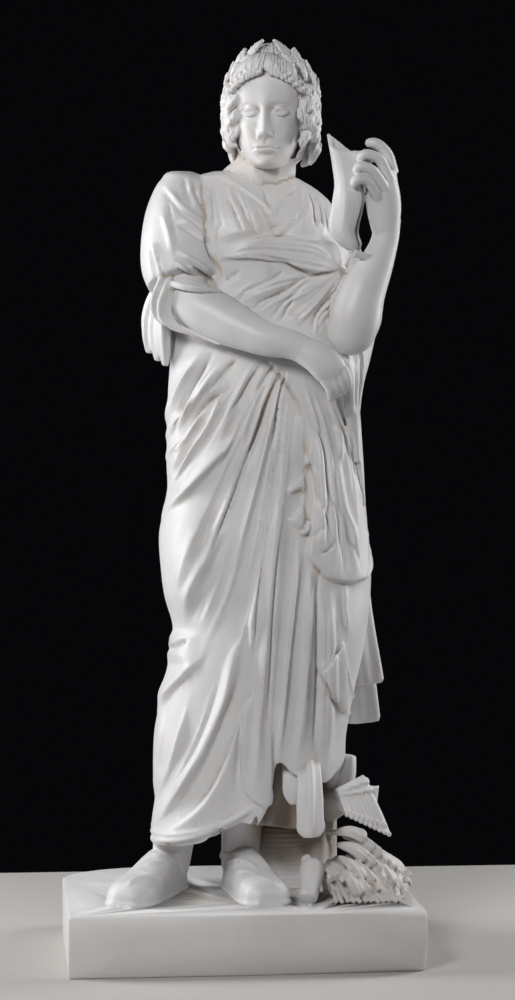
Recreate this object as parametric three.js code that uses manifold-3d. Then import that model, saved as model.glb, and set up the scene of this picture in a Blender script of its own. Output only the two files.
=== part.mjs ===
// A life-size marble statue: a laurel-crowned young man in tunic and mantle, one arm across the waist,
// the other raised with a limp parchment, with country attributes by his foot, all on a low plinth.
// Millimetres, +X to the viewer's right, -Y towards the viewer, +Z up, origin under the plinth's middle.

import * as THREE from "three";
import { mergeVertices } from "three/addons/utils/BufferGeometryUtils.js";
import Module from "manifold-3d";

const wasm = await Module();
wasm.setup();

// Driving dimensions.
const PLINTH = { width: 700, depth: 580, height: 120, straight: 457, arris: 5 };
const CHEST_Y = -20;
// Sections of the clothed body are rounded rectangles: 2 is an ellipse, more is squarer.
const SQUARE = 2.3;
// The carving is composed for one standing viewer. A stroke or place that is given on the upright
// middle plane is carried to its true depth along the line from this eye.
const EYE = new THREE.Vector3(-479, -5479, 1080);
const MARBLE = { color: 0xd9d6d2, roughness: 0.55, metalness: 0 };

const vec = (x, y, z) => new THREE.Vector3(x, y, z);

// A place given on the middle plane, moved to depth y along the viewer's line of sight.
function seen(x, z, y) {
  const k = (y - EYE.y) / -EYE.y;
  return vec(EYE.x + (x - EYE.x) * k, y, EYE.z + (z - EYE.z) * k);
}

// Reads a table of rows [key, value, value...] at a key, with an even Hermite curve between the rows.
function along(rows, key) {
  let i = 0;
  while (i < rows.length - 2 && key > rows[i + 1][0]) i += 1;
  const [a, b] = [rows[i], rows[i + 1]];
  const before = rows[Math.max(i - 1, 0)];
  const after = rows[Math.min(i + 2, rows.length - 1)];
  const t = THREE.MathUtils.clamp((key - a[0]) / (b[0] - a[0]), 0, 1);
  return a.slice(1).map((value, j) => {
    const k = j + 1;
    const span = b[0] - a[0];
    const slopeA = ((b[k] - before[k]) / (b[0] - before[0] || 1)) * span;
    const slopeB = ((after[k] - a[k]) / (after[0] - a[0] || 1)) * span;
    const t2 = t * t;
    const t3 = t2 * t;
    return value * (2 * t3 - 3 * t2 + 1) + slopeA * (t3 - 2 * t2 + t)
      + b[k] * (3 * t2 - 2 * t3) + slopeB * (t3 - t2);
  });
}

// Turns a closed three.js geometry into a solid, whichever way its faces were wound.
function solid(geometry) {
  const bare = geometry.index ? geometry.toNonIndexed() : geometry;
  for (const name of Object.keys(bare.attributes)) {
    if (name !== "position") bare.deleteAttribute(name);
  }
  const merged = mergeVertices(bare, 1e-3);
  const points = merged.attributes.position.array;
  const corners = [];
  for (let i = 0; i < merged.index.count; i += 3) {
    const face = [0, 1, 2].map((k) => merged.index.getX(i + k));
    if (new Set(face).size === 3) corners.push(...face);
  }
  let volume = 0;
  for (let i = 0; i < corners.length; i += 3) {
    const [a, b, c] = [0, 1, 2].map((k) => new THREE.Vector3().fromArray(points, 3 * corners[i + k]));
    volume += a.dot(b.cross(c));
  }
  if (volume < 0) {
    for (let i = 0; i < corners.length; i += 3) {
      [corners[i], corners[i + 1]] = [corners[i + 1], corners[i]];
    }
  }
  const vertProperties = new Float32Array(points);
  const triVerts = new Uint32Array(corners);
  return new wasm.Manifold(new wasm.Mesh({ numProp: 3, vertProperties, triVerts }));
}

// A skin bent from a cylinder: shape(angle, t, r) gives each place, with t from 0 to 1 along it.
function skin(sides, rows, shape) {
  const tube = new THREE.CylinderGeometry(1, 1, 1, sides, rows);
  const place = tube.attributes.position;
  for (let i = 0; i < place.count; i += 1) {
    const r = Math.hypot(place.getX(i), place.getZ(i));
    const angle = r > 1e-6 ? Math.atan2(place.getX(i), place.getZ(i)) : 0;
    const p = shape(angle, 0.5 - place.getY(i), r);
    place.setXYZ(i, p.x, p.y, p.z);
  }
  return solid(tube);
}

// A limb, lock or finger: rows of [t, half width, half depth] round a smooth path.
function limb(points, rows, { sides = 12, steps = 8, side = vec(0, 1, 0) } = {}) {
  const path = new THREE.CatmullRomCurve3(points, false, "centripetal");
  return skin(sides, steps, (angle, t, r) => {
    const centre = path.getPointAt(t);
    const tangent = path.getTangentAt(t);
    const u = new THREE.Vector3().crossVectors(tangent, side).normalize();
    const v = new THREE.Vector3().crossVectors(u, tangent);
    const [wide, deep] = along(rows, t);
    centre.addScaledVector(u, r * wide * Math.cos(angle));
    return centre.addScaledVector(v, r * deep * Math.sin(angle));
  });
}

// A rounded lump with its three half sizes and turns.
function lump(centre, half, turn = [0, 0, 0], detail = [16, 12]) {
  const ball = new THREE.SphereGeometry(1, detail[0], detail[1]);
  ball.scale(...half).rotateX(turn[0]).rotateY(turn[1]).rotateZ(turn[2]);
  ball.translate(centre.x, centre.y, centre.z);
  return solid(ball);
}

const join = (solids) => solids.reduce((whole, next) => whole.add(next));

// ---- Drapery -------------------------------------------------------------------------------------

// Rows up the robe: height, left, right, front, back.
const ROBE = [
  [205, -172, 205, -165, 150],
  [250, -177, 214, -168, 155],
  [310, -170, 222, -172, 155],
  [440, -168, 227, -178, 155],
  [520, -157, 240, -185, 155],
  [600, -139, 258, -198, 152],
  [660, -131, 268, -198, 150],
  [760, -150, 276, -188, 150],
  [850, -160, 270, -178, 152],
  [920, -145, 264, -168, 150],
  [1000, -146, 256, -160, 148],
  [1060, -144, 253, -152, 142],
  [1150, -142, 262, -142, 134],
  [1200, -138, 275, -138, 130],
  [1280, -128, 288, -140, 130],
  [1360, -116, 272, -146, 130],
  [1440, -110, 238, -140, 124],
  [1500, -106, 208, -118, 112],
  [1540, -106, 176, -98, 92],
  [1570, -84, 124, -72, 62],
];

// The lower edge of the robe on the middle plane by x, low over the left foot and lifted over the right.
const HEM = [
  [-180, 214], [-140, 211], [-95, 210], [-43, 230], [8, 256], [62, 292], [76, 372], [116, 356],
  [155, 336], [190, 340], [225, 385],
];
const BACK_HEM = 208;

// Where the cloth's front lies, before its folds, behind a place given on the middle plane.
function onCloth(x, z, proud = 0) {
  let p = seen(x, z, -150);
  for (let i = 0; i < 4; i += 1) {
    const [left, right, front] = along(ROBE, p.z);
    const off = Math.min(0.97, Math.abs((2 * p.x - left - right) / (right - left)));
    p = seen(x, z, CHEST_Y + (front - CHEST_Y) * (1 - off ** SQUARE) ** (1 / SQUARE) - proud);
  }
  return p;
}

// The folds: half width, height above the cloth, then x and z along the fold on the middle plane.
const SKIRT_FOLDS = [
  [13, 12, -30, 1130, -90, 1060, -140, 985],
  [14, 14, 0, 1150, -70, 1010, -140, 890],
  [14, 13, 55, 1180, 0, 1010, -60, 870, -130, 720],
  [15, 16, 80, 1180, 30, 990, -20, 800, -75, 640, -120, 500],
  [17, 20, 104, 1180, 90, 950, 60, 760, 38, 560, 6, 390, -40, 290],
  [12, 15, 128, 840, 108, 700, 90, 560, 66, 410],
  [13, 16, 150, 760, 140, 600, 126, 450, 112, 362],
  [12, 14, 196, 730, 196, 560, 190, 380],
  [15, 16, -140, 560, -152, 420, -150, 300, -168, 230],
  [14, 14, -88, 560, -116, 420, -128, 300, -150, 226],
  [15, 15, -40, 500, -80, 360, -124, 262, -170, 226],
  [13, 12, -176, 226, -120, 216, -60, 226],
];
const CHEST_FOLDS = [
  [11, 17, -34, 1412, 30, 1434, 110, 1434, 170, 1426, 216, 1394],
  [11, 19, -20, 1404, 50, 1414, 130, 1402, 212, 1388],
  [9, 12, 212, 1376, 150, 1346, 96, 1310, 66, 1282],
  [9, 11, 214, 1366, 172, 1322, 140, 1280],
  [9, 10, 216, 1356, 192, 1308, 176, 1262],
  [8, 9, 6, 1556, 30, 1500, 70, 1446],
  [8, 9, 122, 1552, 112, 1500, 80, 1446],
];
// Half the number of corners round the robe: at the back they stand out and in by turns, as pleats.
const CORNERS = 13;
const PLEAT = 8;

function fold([half, rise, ...run]) {
  const points = [];
  for (let i = 0; i < run.length; i += 2) points.push(onCloth(run[i], run[i + 1]));
  const full = 1.2 * half;
  const begin = [0, 0.4 * half, 0.3 * rise];
  const rows = [begin, [0.2, full, rise], [0.8, full, rise], [1, 0.6 * half, 0.4 * rise]];
  return limb(points, rows, { sides: 4, steps: points.length });
}

function robe() {
  const [bottom, top] = [ROBE[0][0], ROBE.at(-1)[0]];
  const body = skin(2 * CORNERS, 14, (angle, t, r) => {
    const across = Math.sin(angle);
    const depth = Math.cos(angle);
    const z = top + (bottom - top) * t;
    const [left, right, front, back] = along(ROBE, z);
    const pleat = depth < -0.1 ? PLEAT * Math.cos(CORNERS * angle) * Math.min(1, (1520 - z) / 300) : 0;
    const reach = depth > 0 ? CHEST_Y - front : back - CHEST_Y + pleat;
    const round = (Math.abs(across) ** SQUARE + Math.abs(depth) ** SQUARE) ** (1 / SQUARE);
    const x = (left + right) / 2 + (((right - left) / 2) * across * r) / round;
    const y = CHEST_Y - (reach * depth * r) / round;
    const k = (y - EYE.y) / -EYE.y;
    const lifted = EYE.z + (along(HEM, EYE.x + (x - EYE.x) / k)[0] - EYE.z) * k;
    const hem = depth > 0 ? lifted : BACK_HEM;
    return vec(x, y, z + (hem - bottom) * Math.max(0, 1 - (z - bottom) / 300) ** 2 * r);
  });
  return join([body, ...SKIRT_FOLDS.map(fold), ...CHEST_FOLDS.map(fold)]);
}

// The mantle's cascade at the right side, a zigzag of hanging folds.
function cascade() {
  // Half width at the foot, place from front to back, height of the foot.
  const tiers = [[34, 10, 534], [36, 46, 452], [34, 84, 470]];
  const folds = tiers.map(([width, deep, foot]) => {
    const path = [vec(236, deep, 1020), vec(242, deep, 800), vec(254, deep, 640), vec(266, deep, foot)];
    const rows = [[0, 14, 20], [0.3, 20, 24], [0.7, 0.75 * width, 24], [1, width, 22]];
    return limb(path, rows, { sides: 8, steps: 5 });
  });
  return join(folds);
}

// A cloth edge lying on the robe: outline on the middle plane, standing proud of the cloth behind it.
function lying(outline, proud, sunk = 30) {
  const shape = new THREE.Shape(outline.map(([x, z]) => new THREE.Vector2(x, z)));
  const slab = new THREE.ExtrudeGeometry(shape, { depth: 1, bevelEnabled: false, steps: 1 });
  const place = slab.attributes.position;
  for (let i = 0; i < place.count; i += 1) {
    const p = onCloth(place.getX(i), place.getY(i), place.getZ(i) > 0.5 ? -sunk : proud);
    place.setXYZ(i, p.x, p.y, p.z);
  }
  return solid(slab);
}

function flaps() {
  const front = [
    [150, 1130], [180, 1128], [204, 1116], [222, 1040], [240, 940], [246, 830], [250, 760], [236, 750],
    [211, 744], [184, 758], [167, 775], [146, 800], [147, 900], [150, 1000],
  ];
  const zigzag = [
    [118, 1060], [148, 1060], [149, 925], [148, 852], [121, 843], [112, 868], [136, 888], [108, 912],
    [106, 935],
  ];
  const turnback = [[224, 640], [176, 555], [200, 505], [224, 470]];
  const end = [[140, 420], [178, 420], [176, 310], [175, 222], [156, 218], [130, 238], [134, 285]];
  const wing = [[76, 470], [150, 470], [158, 338], [116, 352], [77, 385]];
  return join([lying(front, 22), lying(zigzag, 17), lying(turnback, 14, 20), lying(end, 8), lying(wing, 14)]);
}

// ---- Arms, hands and the parchment ---------------------------------------------------------------

function sleeve() {
  const path = [vec(-84, -12, 1575), vec(-98, -14, 1530), vec(-112, -24, 1440), vec(-110, -48, 1342)];
  const rows = [
    [0, 8, 12], [0.05, 44, 46], [0.14, 62, 62], [0.3, 71, 74], [0.6, 77, 82], [0.85, 78, 80], [1, 66, 70],
  ];
  const gather = [[0, 8, 10], [0.25, 22, 28], [0.7, 26, 32], [1, 16, 18]];
  const bundle = [
    limb([vec(-146, -34, 1372), vec(-166, -22, 1300), vec(-168, -12, 1212)], gather, { sides: 7, steps: 4 }),
    limb([vec(-122, -78, 1362), vec(-152, -62, 1310), vec(-150, -34, 1228)], gather, { sides: 7, steps: 4 }),
  ];
  return join([limb(path, rows, { sides: 12, steps: 7, side: vec(1, 0, 0) }), ...bundle]);
}

function crossedArm() {
  const path = [
    seen(-92, 1390, -50), seen(-92, 1322, -102), seen(-26, 1281, -140), seen(62, 1241, -184),
    seen(150, 1214, -200),
  ];
  const rows = [[0, 42, 44], [0.2, 46, 48], [0.38, 50, 48], [0.66, 38, 37], [0.85, 30, 26], [1, 27, 21]];
  const back = limb(
    [seen(138, 1220, -201), seen(168, 1202, -208), seen(206, 1160, -200)],
    [[0, 27, 21], [0.5, 32, 18], [1, 26, 12]],
    { sides: 8, steps: 3 },
  );
  const fingers = [0, 1, 2, 3].map((i) => {
    const root = seen(182 + 13 * i, 1156 + 9 * i, -206);
    const bend = seen(192 + 12 * i, 1138 + 8 * i, -204);
    const tip = seen(196 + 11 * i, 1118 + 7 * i, -186);
    const slim = [[0, 11, 11], [0.6, 9, 9], [1, 6, 6]];
    return limb([root, bend, tip], slim, { sides: 6, steps: 3, side: vec(1, 0, 0) });
  });
  return join([limb(path, rows, { sides: 9, steps: 6 }), back, ...fingers]);
}

function raisedArm() {
  const upper = limb(
    [vec(160, -5, 1500), vec(196, -40, 1400), vec(226, -100, 1290), vec(232, -130, 1240)],
    [[0, 26, 30], [0.12, 44, 50], [0.5, 52, 56], [0.9, 50, 52], [1, 34, 36]],
    { sides: 8, steps: 5, side: vec(1, 0, 0) },
  );
  const path = [
    seen(222, 1216, -150), seen(238, 1263, -166), seen(259, 1336, -172), seen(287, 1394, -170),
    seen(306, 1450, -166), seen(308, 1490, -168),
  ];
  const rows = [
    [0, 20, 22], [0.07, 40, 40], [0.2, 50, 48], [0.45, 45, 44], [0.66, 34, 33], [0.85, 27, 24], [1, 29, 22],
  ];
  const fore = limb(path, rows, { sides: 9, steps: 6 });
  const palm = limb(
    [seen(306, 1462, -168), seen(303, 1506, -172), seen(300, 1550, -174), seen(306, 1586, -170)],
    [[0, 27, 22], [0.35, 34, 25], [0.7, 33, 26], [1, 22, 18]],
    { sides: 10, steps: 4 },
  );
  const reach = [
    [seen(292, 1528, -190), seen(264, 1566, -212), seen(248, 1566, -216), seen(240, 1550, -208)],
    [seen(306, 1545, -190), seen(272, 1588, -210), seen(254, 1592, -212), seen(243, 1576, -206)],
    [seen(316, 1562, -182), seen(286, 1612, -198), seen(262, 1616, -200), seen(250, 1600, -196)],
    [seen(322, 1578, -168), seen(304, 1626, -178), seen(284, 1640, -180), seen(264, 1640, -176)],
  ];
  const slim = [[0, 13, 13], [0.6, 11, 11], [0.9, 9, 9], [1, 5, 5]];
  const fingers = reach.map((bones) => limb(bones, slim, { sides: 5, steps: 4 }));
  const bones = [seen(290, 1490, -150), seen(270, 1540, -140), seen(254, 1590, -146)];
  const thumb = limb(bones, [[0, 16, 14], [0.6, 12, 11], [1, 7, 7]], { sides: 6, steps: 3 });
  return join([upper, fore, palm, thumb, ...fingers]);
}

// The limp parchment in the fingers: flared above them, a loose pouch with a small lip below.
function parchment() {
  const upper = limb(
    [seen(240, 1560, -176), seen(234, 1592, -172), seen(228, 1632, -168)],
    [[0, 24, 14], [0.5, 32, 14], [1, 44, 12]],
    { sides: 8, steps: 3 },
  );
  const corner = limb(
    [seen(224, 1612, -168), seen(198, 1644, -168)],
    [[0, 16, 12], [1, 4, 5]],
    { sides: 6, steps: 1 },
  );
  const lower = limb(
    [seen(232, 1572, -176), seen(231, 1520, -182), seen(221, 1462, -184), seen(240, 1424, -182)],
    [[0, 24, 16], [0.4, 30, 20], [0.8, 26, 20], [1, 14, 12]],
    { sides: 8, steps: 5 },
  );
  const lip = limb(
    [seen(240, 1424, -186), seen(294, 1422, -176)],
    [[0, 13, 12], [1, 7, 7]],
    { sides: 6, steps: 1 },
  );
  return join([upper, corner, lower, lip]);
}

// ---- Head ----------------------------------------------------------------------------------------

const HEAD = { x: 60, y: -66, chin: 1580, tall: 236, turn: -0.2 };

// Half width, front reach and back reach of the bare head by height from chin to crown.
const SKULL = [
  [0, 16, 40, 0], [0.04, 30, 60, 10], [0.12, 44, 70, 36], [0.24, 57, 76, 62], [0.38, 66, 79, 84],
  [0.55, 72, 80, 98], [0.72, 73, 76, 102], [0.86, 62, 60, 90], [0.95, 40, 36, 62], [1, 12, 8, 20],
];
// A plain classical profile: how far nose and brow stand out by height.
const PROFILE = [
  [0, 0], [0.02, 5], [0.08, 7], [0.13, 1], [0.16, 6], [0.2, 6], [0.24, 2], [0.27, 17], [0.3, 21], [0.34, 16],
  [0.44, 9], [0.5, 6], [0.56, 4], [0.7, 0], [1, 0],
];

function skull() {
  const { x, y, chin, tall, turn } = HEAD;
  return skin(16, 12, (angle, t, r) => {
    const up = 1 - t;
    const [wide, front, back] = along(SKULL, up);
    const across = wide * Math.sin(angle) * r;
    const depth = Math.cos(angle);
    let reach = (depth > 0 ? front : back) * depth * r;
    if (depth > 0 && r > 0.5) {
      const band = up > 0.25 && up < 0.5 ? 12 : 22;
      reach += along(PROFILE, up)[0] * Math.exp(-((across / band) ** 2));
      reach -= 9 * Math.exp(-(((Math.abs(across) - 31) / 13) ** 2) - ((up - 0.49) / 0.04) ** 2);
      reach += 4 * Math.exp(-(((Math.abs(across) - 30) / 16) ** 2) - ((up - 0.56) / 0.03) ** 2);
    }
    const p = vec(across, -reach, tall * up).applyAxisAngle(vec(0, 0, 1), turn);
    return p.add(vec(x, y, chin));
  });
}

// The hair: a full cap parted over the brow, waves swept to both sides and curls down to the nape.
function hair() {
  const { x, y, chin } = HEAD;
  const cap = skin(16, 8, (angle, t, r) => {
    const up = 1 - t;
    const dome = Math.sqrt(Math.max(0, 1 - ((up - 0.42) / 0.58) ** 2));
    const wave = 1 + 0.035 * Math.sin(9 * angle + 3 * up) * Math.sin(Math.PI * up);
    const across = 96 * Math.max(dome, 0.25) * wave * Math.sin(angle) * r;
    const depth = Math.max(dome, 0.25) * wave * Math.cos(angle) * r;
    return vec(x + 4 + across, y + 26 - depth * (depth > 0 ? 104 : 96), chin + 20 + 233 * up);
  });
  const face = lump(vec(x - 4, y - 84, chin + 76), [70, 66, 94], [0.1, 0, 0], [10, 7]);
  const locks = [];
  for (const sign of [-1, 1]) {
    for (let i = 0; i < 3; i += 1) {
      const wide = 16 + 24 * i;
      const top = vec(x + sign * wide * 0.6, y - 58 + 7 * i, chin + 208 - 10 * i);
      const mid = vec(x + sign * (wide + 8), y - 84 + 18 * i, chin + 186 - 9 * i);
      const tip = vec(x + sign * (wide + 16), y - 80 + 22 * i, chin + 162 - 9 * i);
      locks.push(limb([top, mid, tip], [[0, 12, 9], [0.5, 17, 13], [1, 7, 7]], { sides: 5, steps: 2 }));
    }
    for (let i = 0; i < 3; i += 1) {
      const level = chin + 120 - 36 * i;
      const bulge = 84 - 7 * i;
      const back = y - 20 + 18 * i;
      const from = vec(x + 5 + sign * (bulge - 6), back - 12, level + 26);
      const out = vec(x + 5 + sign * (bulge + 6), back - 2, level);
      const under = vec(x + 5 + sign * (bulge - 14), back - 14, level - 20);
      locks.push(limb([from, out, under], [[0, 14, 16], [0.5, 24, 22], [1, 10, 10]], { sides: 5, steps: 2 }));
    }
  }
  return join([cap.subtract(face), ...locks]);
}

// A laurel leaf: a thin pointed lump along a line, lying on the hair.
function leaf(root, tip, normal, wide) {
  const axis = tip.clone().sub(root);
  const blade = new THREE.SphereGeometry(1, 5, 4);
  const across = new THREE.Vector3().crossVectors(axis, normal).normalize();
  const out = new THREE.Vector3().crossVectors(across, axis).normalize();
  const frame = new THREE.Matrix4().makeBasis(across, axis.clone().normalize(), out);
  blade.scale(wide / 2, axis.length() / 2, 4).applyMatrix4(frame);
  const middle = root.clone().add(tip).multiplyScalar(0.5);
  blade.translate(middle.x, middle.y, middle.z);
  return solid(blade);
}

function wreath() {
  const { x, y, chin } = HEAD;
  const leaves = [];
  const groups = 3;
  for (const sign of [-1, 1]) {
    for (let i = 0; i < groups; i += 1) {
      const turn = THREE.MathUtils.lerp(1.5, 0.42, i / (groups - 1));
      const level = THREE.MathUtils.lerp(112, 208, i / (groups - 1));
      const girth = THREE.MathUtils.lerp(95, 70, (i / (groups - 1)) ** 2);
      const out = vec(sign * Math.sin(turn), -Math.cos(turn), 0.35).normalize();
      const deep = y + 26 - girth * 1.05 * Math.cos(turn);
      const root = vec(x + 4 + sign * girth * Math.sin(turn), deep, chin + level);
      const up = vec(-sign * 0.35 * Math.cos(turn), 0.1, 1).normalize();
      for (const splay of [-0.45, 0.45]) {
        const run = up.clone().applyAxisAngle(out, splay * sign).multiplyScalar(44).addScaledVector(out, 5);
        leaves.push(leaf(root, root.clone().add(run), out, 19));
      }
    }
  }
  return join(leaves);
}

function neck() {
  const path = [vec(44, -12, 1488), vec(44, -16, 1540), vec(58, -28, 1590), vec(62, -44, 1645)];
  const rows = [[0, 84, 98], [0.3, 78, 94], [0.56, 62, 66], [0.75, 56, 59], [1, 56, 58]];
  return limb(path, rows, { sides: 12, steps: 5, side: vec(1, 0, 0) });
}

// ---- Feet, attributes and plinth -----------------------------------------------------------------

// A soft closed shoe with its ankle: heel and toe on the ground, rows of height and half width.
function shoe(heel, toe, ankle, knee) {
  const floor = PLINTH.height;
  const axis = toe.clone().sub(heel);
  const side = vec(-axis.y, axis.x, 0).normalize();
  const top = [[0, 60, 28], [0.2, 82, 38], [0.4, 80, 43], [0.65, 58, 49], [0.85, 46, 49], [1, 24, 28]];
  const body = skin(12, 7, (angle, t, r) => {
    const [tall, wide] = along(top, t);
    const p = heel.clone().addScaledVector(axis, t);
    p.addScaledVector(side, r * wide * Math.cos(angle) * (Math.sin(angle) > 0 ? 0.92 : 1));
    const rise = Math.sin(angle) > 0 ? tall * Math.sin(angle) : 4 * Math.sin(angle);
    return p.setZ(floor + r * rise);
  });
  const leg = limb([knee, ankle], [[0, 44, 44], [1, 34, 38]], { sides: 10, steps: 2 });
  return body.add(leg);
}

function feet() {
  return join([
    shoe(vec(-120, 42, 0), vec(-240, -200, 0), vec(-134, 0, 165), vec(-120, -40, 330)),
    shoe(vec(0, 30, 0), vec(50, -214, 0), vec(6, 0, 165), vec(20, -20, 420)),
  ]);
}

// The straw hive behind the foot: stacked coils of rope.
function hive() {
  const rings = 5;
  const foot = vec(96, 60, PLINTH.height - 2);
  const profile = [new THREE.Vector2(0, 0)];
  for (let i = 0; i <= rings; i += 1) {
    const rise = i / rings;
    const wide = 78 * Math.sqrt(1 - 0.55 * rise * rise);
    profile.push(new THREE.Vector2(wide - 4, 150 * rise), new THREE.Vector2(wide, 150 * rise + 6));
  }
  profile.push(new THREE.Vector2(0, 162));
  const coil = new THREE.LatheGeometry(profile, 10);
  coil.rotateX(Math.PI / 2).translate(foot.x, foot.y, foot.z);
  return solid(coil);
}

function stump() {
  const path = [vec(168, 60, 112), vec(172, 56, 260), vec(184, 40, 400)];
  const post = [vec(212, -6, 300), vec(226, -8, 352), vec(232, -8, 392)];
  return join([
    limb(path, [[0, 84, 90], [0.5, 62, 70], [1, 36, 60]], { sides: 10, steps: 3 }),
    limb(post, [[0, 22, 24], [0.7, 18, 22], [1, 14, 18]], { sides: 8, steps: 3 }),
  ]);
}

// Pan pipes: reeds side by side, bound across, leaning on the stump.
function panpipes() {
  const reeds = 5;
  const across = 13;
  const outline = new THREE.Shape();
  outline.moveTo(0, 0);
  for (let i = 0; i < reeds; i += 1) {
    outline.bezierCurveTo(i * across, 7, (i + 1) * across, 7, (i + 1) * across, 0);
  }
  for (let i = reeds; i > 0; i -= 1) {
    outline.bezierCurveTo(i * across, -7, (i - 1) * across, -7, (i - 1) * across, 0);
  }
  // The short reed and the long one, each from its mouth down to its end.
  const short = [seen(206, 327, -72), seen(222, 276, -84)];
  const long = [seen(275, 334, -60), seen(318, 232, -84)];
  const out = new THREE.Vector3().crossVectors(long[0].clone().sub(short[0]), short[1].clone().sub(short[0]));
  out.normalize();
  const onFan = (across01, along01) => {
    const head = short[0].clone().lerp(long[0], across01);
    return head.lerp(short[1].clone().lerp(long[1], across01), along01);
  };
  const fan = new THREE.ExtrudeGeometry(outline, { depth: 1, bevelEnabled: false, curveSegments: 2 });
  const place = fan.attributes.position;
  for (let i = 0; i < place.count; i += 1) {
    const p = onFan(place.getX(i) / (reeds * across), place.getZ(i)).addScaledVector(out, place.getY(i));
    place.setXYZ(i, p.x, p.y, p.z);
  }
  const bound = 0.86;
  const strap = [[0, 6, 9], [1, 6, 9]];
  const band = limb([onFan(-0.04, bound), onFan(1.04, bound)], strap, { sides: 4, steps: 1 });
  const stone = [[0, 20, 20], [1, 34, 34]];
  const backing = limb([onFan(0.3, 0.5), vec(190, -10, 290)], stone, { sides: 6, steps: 1 });
  return join([solid(fan), band, backing]);
}

// The sheaf: rough ears of corn falling forward from a tied heap.
function sheaf() {
  const heap = lump(vec(236, -110, 150), [86, 62, 62], [0, 0.25, 0], [12, 8]);
  const ears = [];
  for (let i = 0; i < 6; i += 1) {
    const k = i / 5;
    const root = vec(206 + 24 * k, -70 - 20 * k, 206 - 8 * k);
    const tip = vec(200 + 128 * k, -176 + 66 * k, 134 + 14 * k);
    const crest = root.clone().lerp(tip, 0.55).add(vec(6, -10, 26));
    ears.push(limb([root, crest, tip], [[0, 11, 11], [0.6, 15, 13], [1, 8, 8]], { sides: 6, steps: 3 }));
  }
  return join([heap, ...ears]);
}

function sickleGrip() {
  return join([
    limb([seen(158, 168, -120), seen(148, 96, -192)], [[0, 25, 20], [1, 19, 16]], { sides: 10, steps: 2 }),
    lump(vec(134, -104, 190), [14, 14, 16], [0, 0, 0], [8, 6]),
  ]);
}

function plinth() {
  const { width, depth, height, straight, arris } = PLINTH;
  const half = width / 2;
  const front = -depth / 2;
  const plan = new THREE.Shape();
  plan.moveTo(-half + arris, front + arris);
  plan.lineTo(half - arris, front + arris);
  plan.lineTo(half - arris, front + straight);
  plan.bezierCurveTo(half - 30, depth / 2 - 40, half - 120, depth / 2 - arris, half - 220, depth / 2 - arris);
  plan.lineTo(-half + 220, depth / 2 - arris);
  const corner = [-half + arris, front + straight];
  plan.bezierCurveTo(-half + 120, depth / 2 - arris, -half + 30, depth / 2 - 40, ...corner);
  const settings = { depth: height - 2 * arris, steps: 1, curveSegments: 8 };
  const bevel = { bevelEnabled: true, bevelSize: arris, bevelThickness: arris, bevelSegments: 1 };
  const block = new THREE.ExtrudeGeometry(plan, { ...settings, ...bevel });
  block.translate(0, 0, arris);
  return solid(block);
}

// ---- The whole carving ---------------------------------------------------------------------------

const parts = [
  plinth(), robe(), cascade(), flaps(), sleeve(), crossedArm(), raisedArm(), parchment(), neck(),
  skull(), hair(), wreath(), feet(), hive(), stump(), panpipes(), sheaf(), sickleGrip(),
];
// Where curved pieces only graze each other a join leaves crumbs, so the one real body is kept.
const carving = join(parts).decompose().sort((a, b) => b.volume() - a.volume())[0].getMesh();
const geometry = new THREE.BufferGeometry();
geometry.setAttribute("position", new THREE.BufferAttribute(new Float32Array(carving.vertProperties), 3));
geometry.setIndex(new THREE.BufferAttribute(new Uint32Array(carving.triVerts), 1));
geometry.computeVertexNormals();

const statue = new THREE.Mesh(geometry, new THREE.MeshStandardMaterial(MARBLE));
statue.name = "statue";
const group = new THREE.Group();
group.add(statue);

export default group;
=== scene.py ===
"""A life-size marble statue: a laurel-crowned youth in tunic and mantle, carved with its low plinth.

Tables are in millimetres on the upright middle plane as the standing viewer sees it, x to the right and z up.
Meshes are in metres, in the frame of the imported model.
"""

import math

import bmesh
import bpy
import numpy as np
from bpy.props import FloatProperty, FloatVectorProperty, IntProperty, PointerProperty
from mathutils import Matrix, Vector


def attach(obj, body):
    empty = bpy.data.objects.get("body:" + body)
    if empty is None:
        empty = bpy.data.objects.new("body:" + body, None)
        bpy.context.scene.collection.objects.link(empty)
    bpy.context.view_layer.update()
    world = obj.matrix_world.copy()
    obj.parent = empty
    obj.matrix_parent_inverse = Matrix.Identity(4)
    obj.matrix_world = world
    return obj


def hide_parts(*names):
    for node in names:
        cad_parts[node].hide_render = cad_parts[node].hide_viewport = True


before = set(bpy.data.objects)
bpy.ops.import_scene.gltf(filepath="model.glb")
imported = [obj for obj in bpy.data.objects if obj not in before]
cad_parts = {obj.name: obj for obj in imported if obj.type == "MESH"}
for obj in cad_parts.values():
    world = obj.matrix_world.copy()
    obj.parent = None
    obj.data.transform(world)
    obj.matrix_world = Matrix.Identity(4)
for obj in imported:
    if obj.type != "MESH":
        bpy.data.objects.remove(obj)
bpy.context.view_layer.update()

bl_info = {
    "name": "Marble Statue",
    "version": (1, 0, 0),
    "blender": (4, 5, 0),
    "location": "View3D > Sidebar > Statue",
    "description": "Carves a laurel-crowned marble statue and sets it in a plain studio",
    "category": "Add Mesh",
}

MM = 0.001
EYE = np.array((-479.4, -5479.0, 1080.0))
PLINTH_TOP = 120.0
PATH_STEP = 4.0

# ---- Carving tools -----------------------------------------------------------------------------------


def along(rows, key):
    """Reads rows of (key, value, value...) at each key, with an even curve between the rows."""
    rows = np.asarray(rows, float)
    keys, values = rows[:, 0], rows[:, 1:]
    key = np.clip(np.asarray(key, float), keys[0], keys[-1])
    i = np.clip(np.searchsorted(keys, key, side="right") - 1, 0, len(keys) - 2)
    slopes = np.gradient(values, keys, axis=0)
    span = (keys[i + 1] - keys[i])[..., None]
    t = (key - keys[i])[..., None] / span
    a = values[i] * (2 * t**3 - 3 * t**2 + 1) + slopes[i] * span * (t**3 - 2 * t**2 + t)
    return a + values[i + 1] * (3 * t**2 - 2 * t**3) + slopes[i + 1] * span * (t**3 - t**2)


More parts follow.
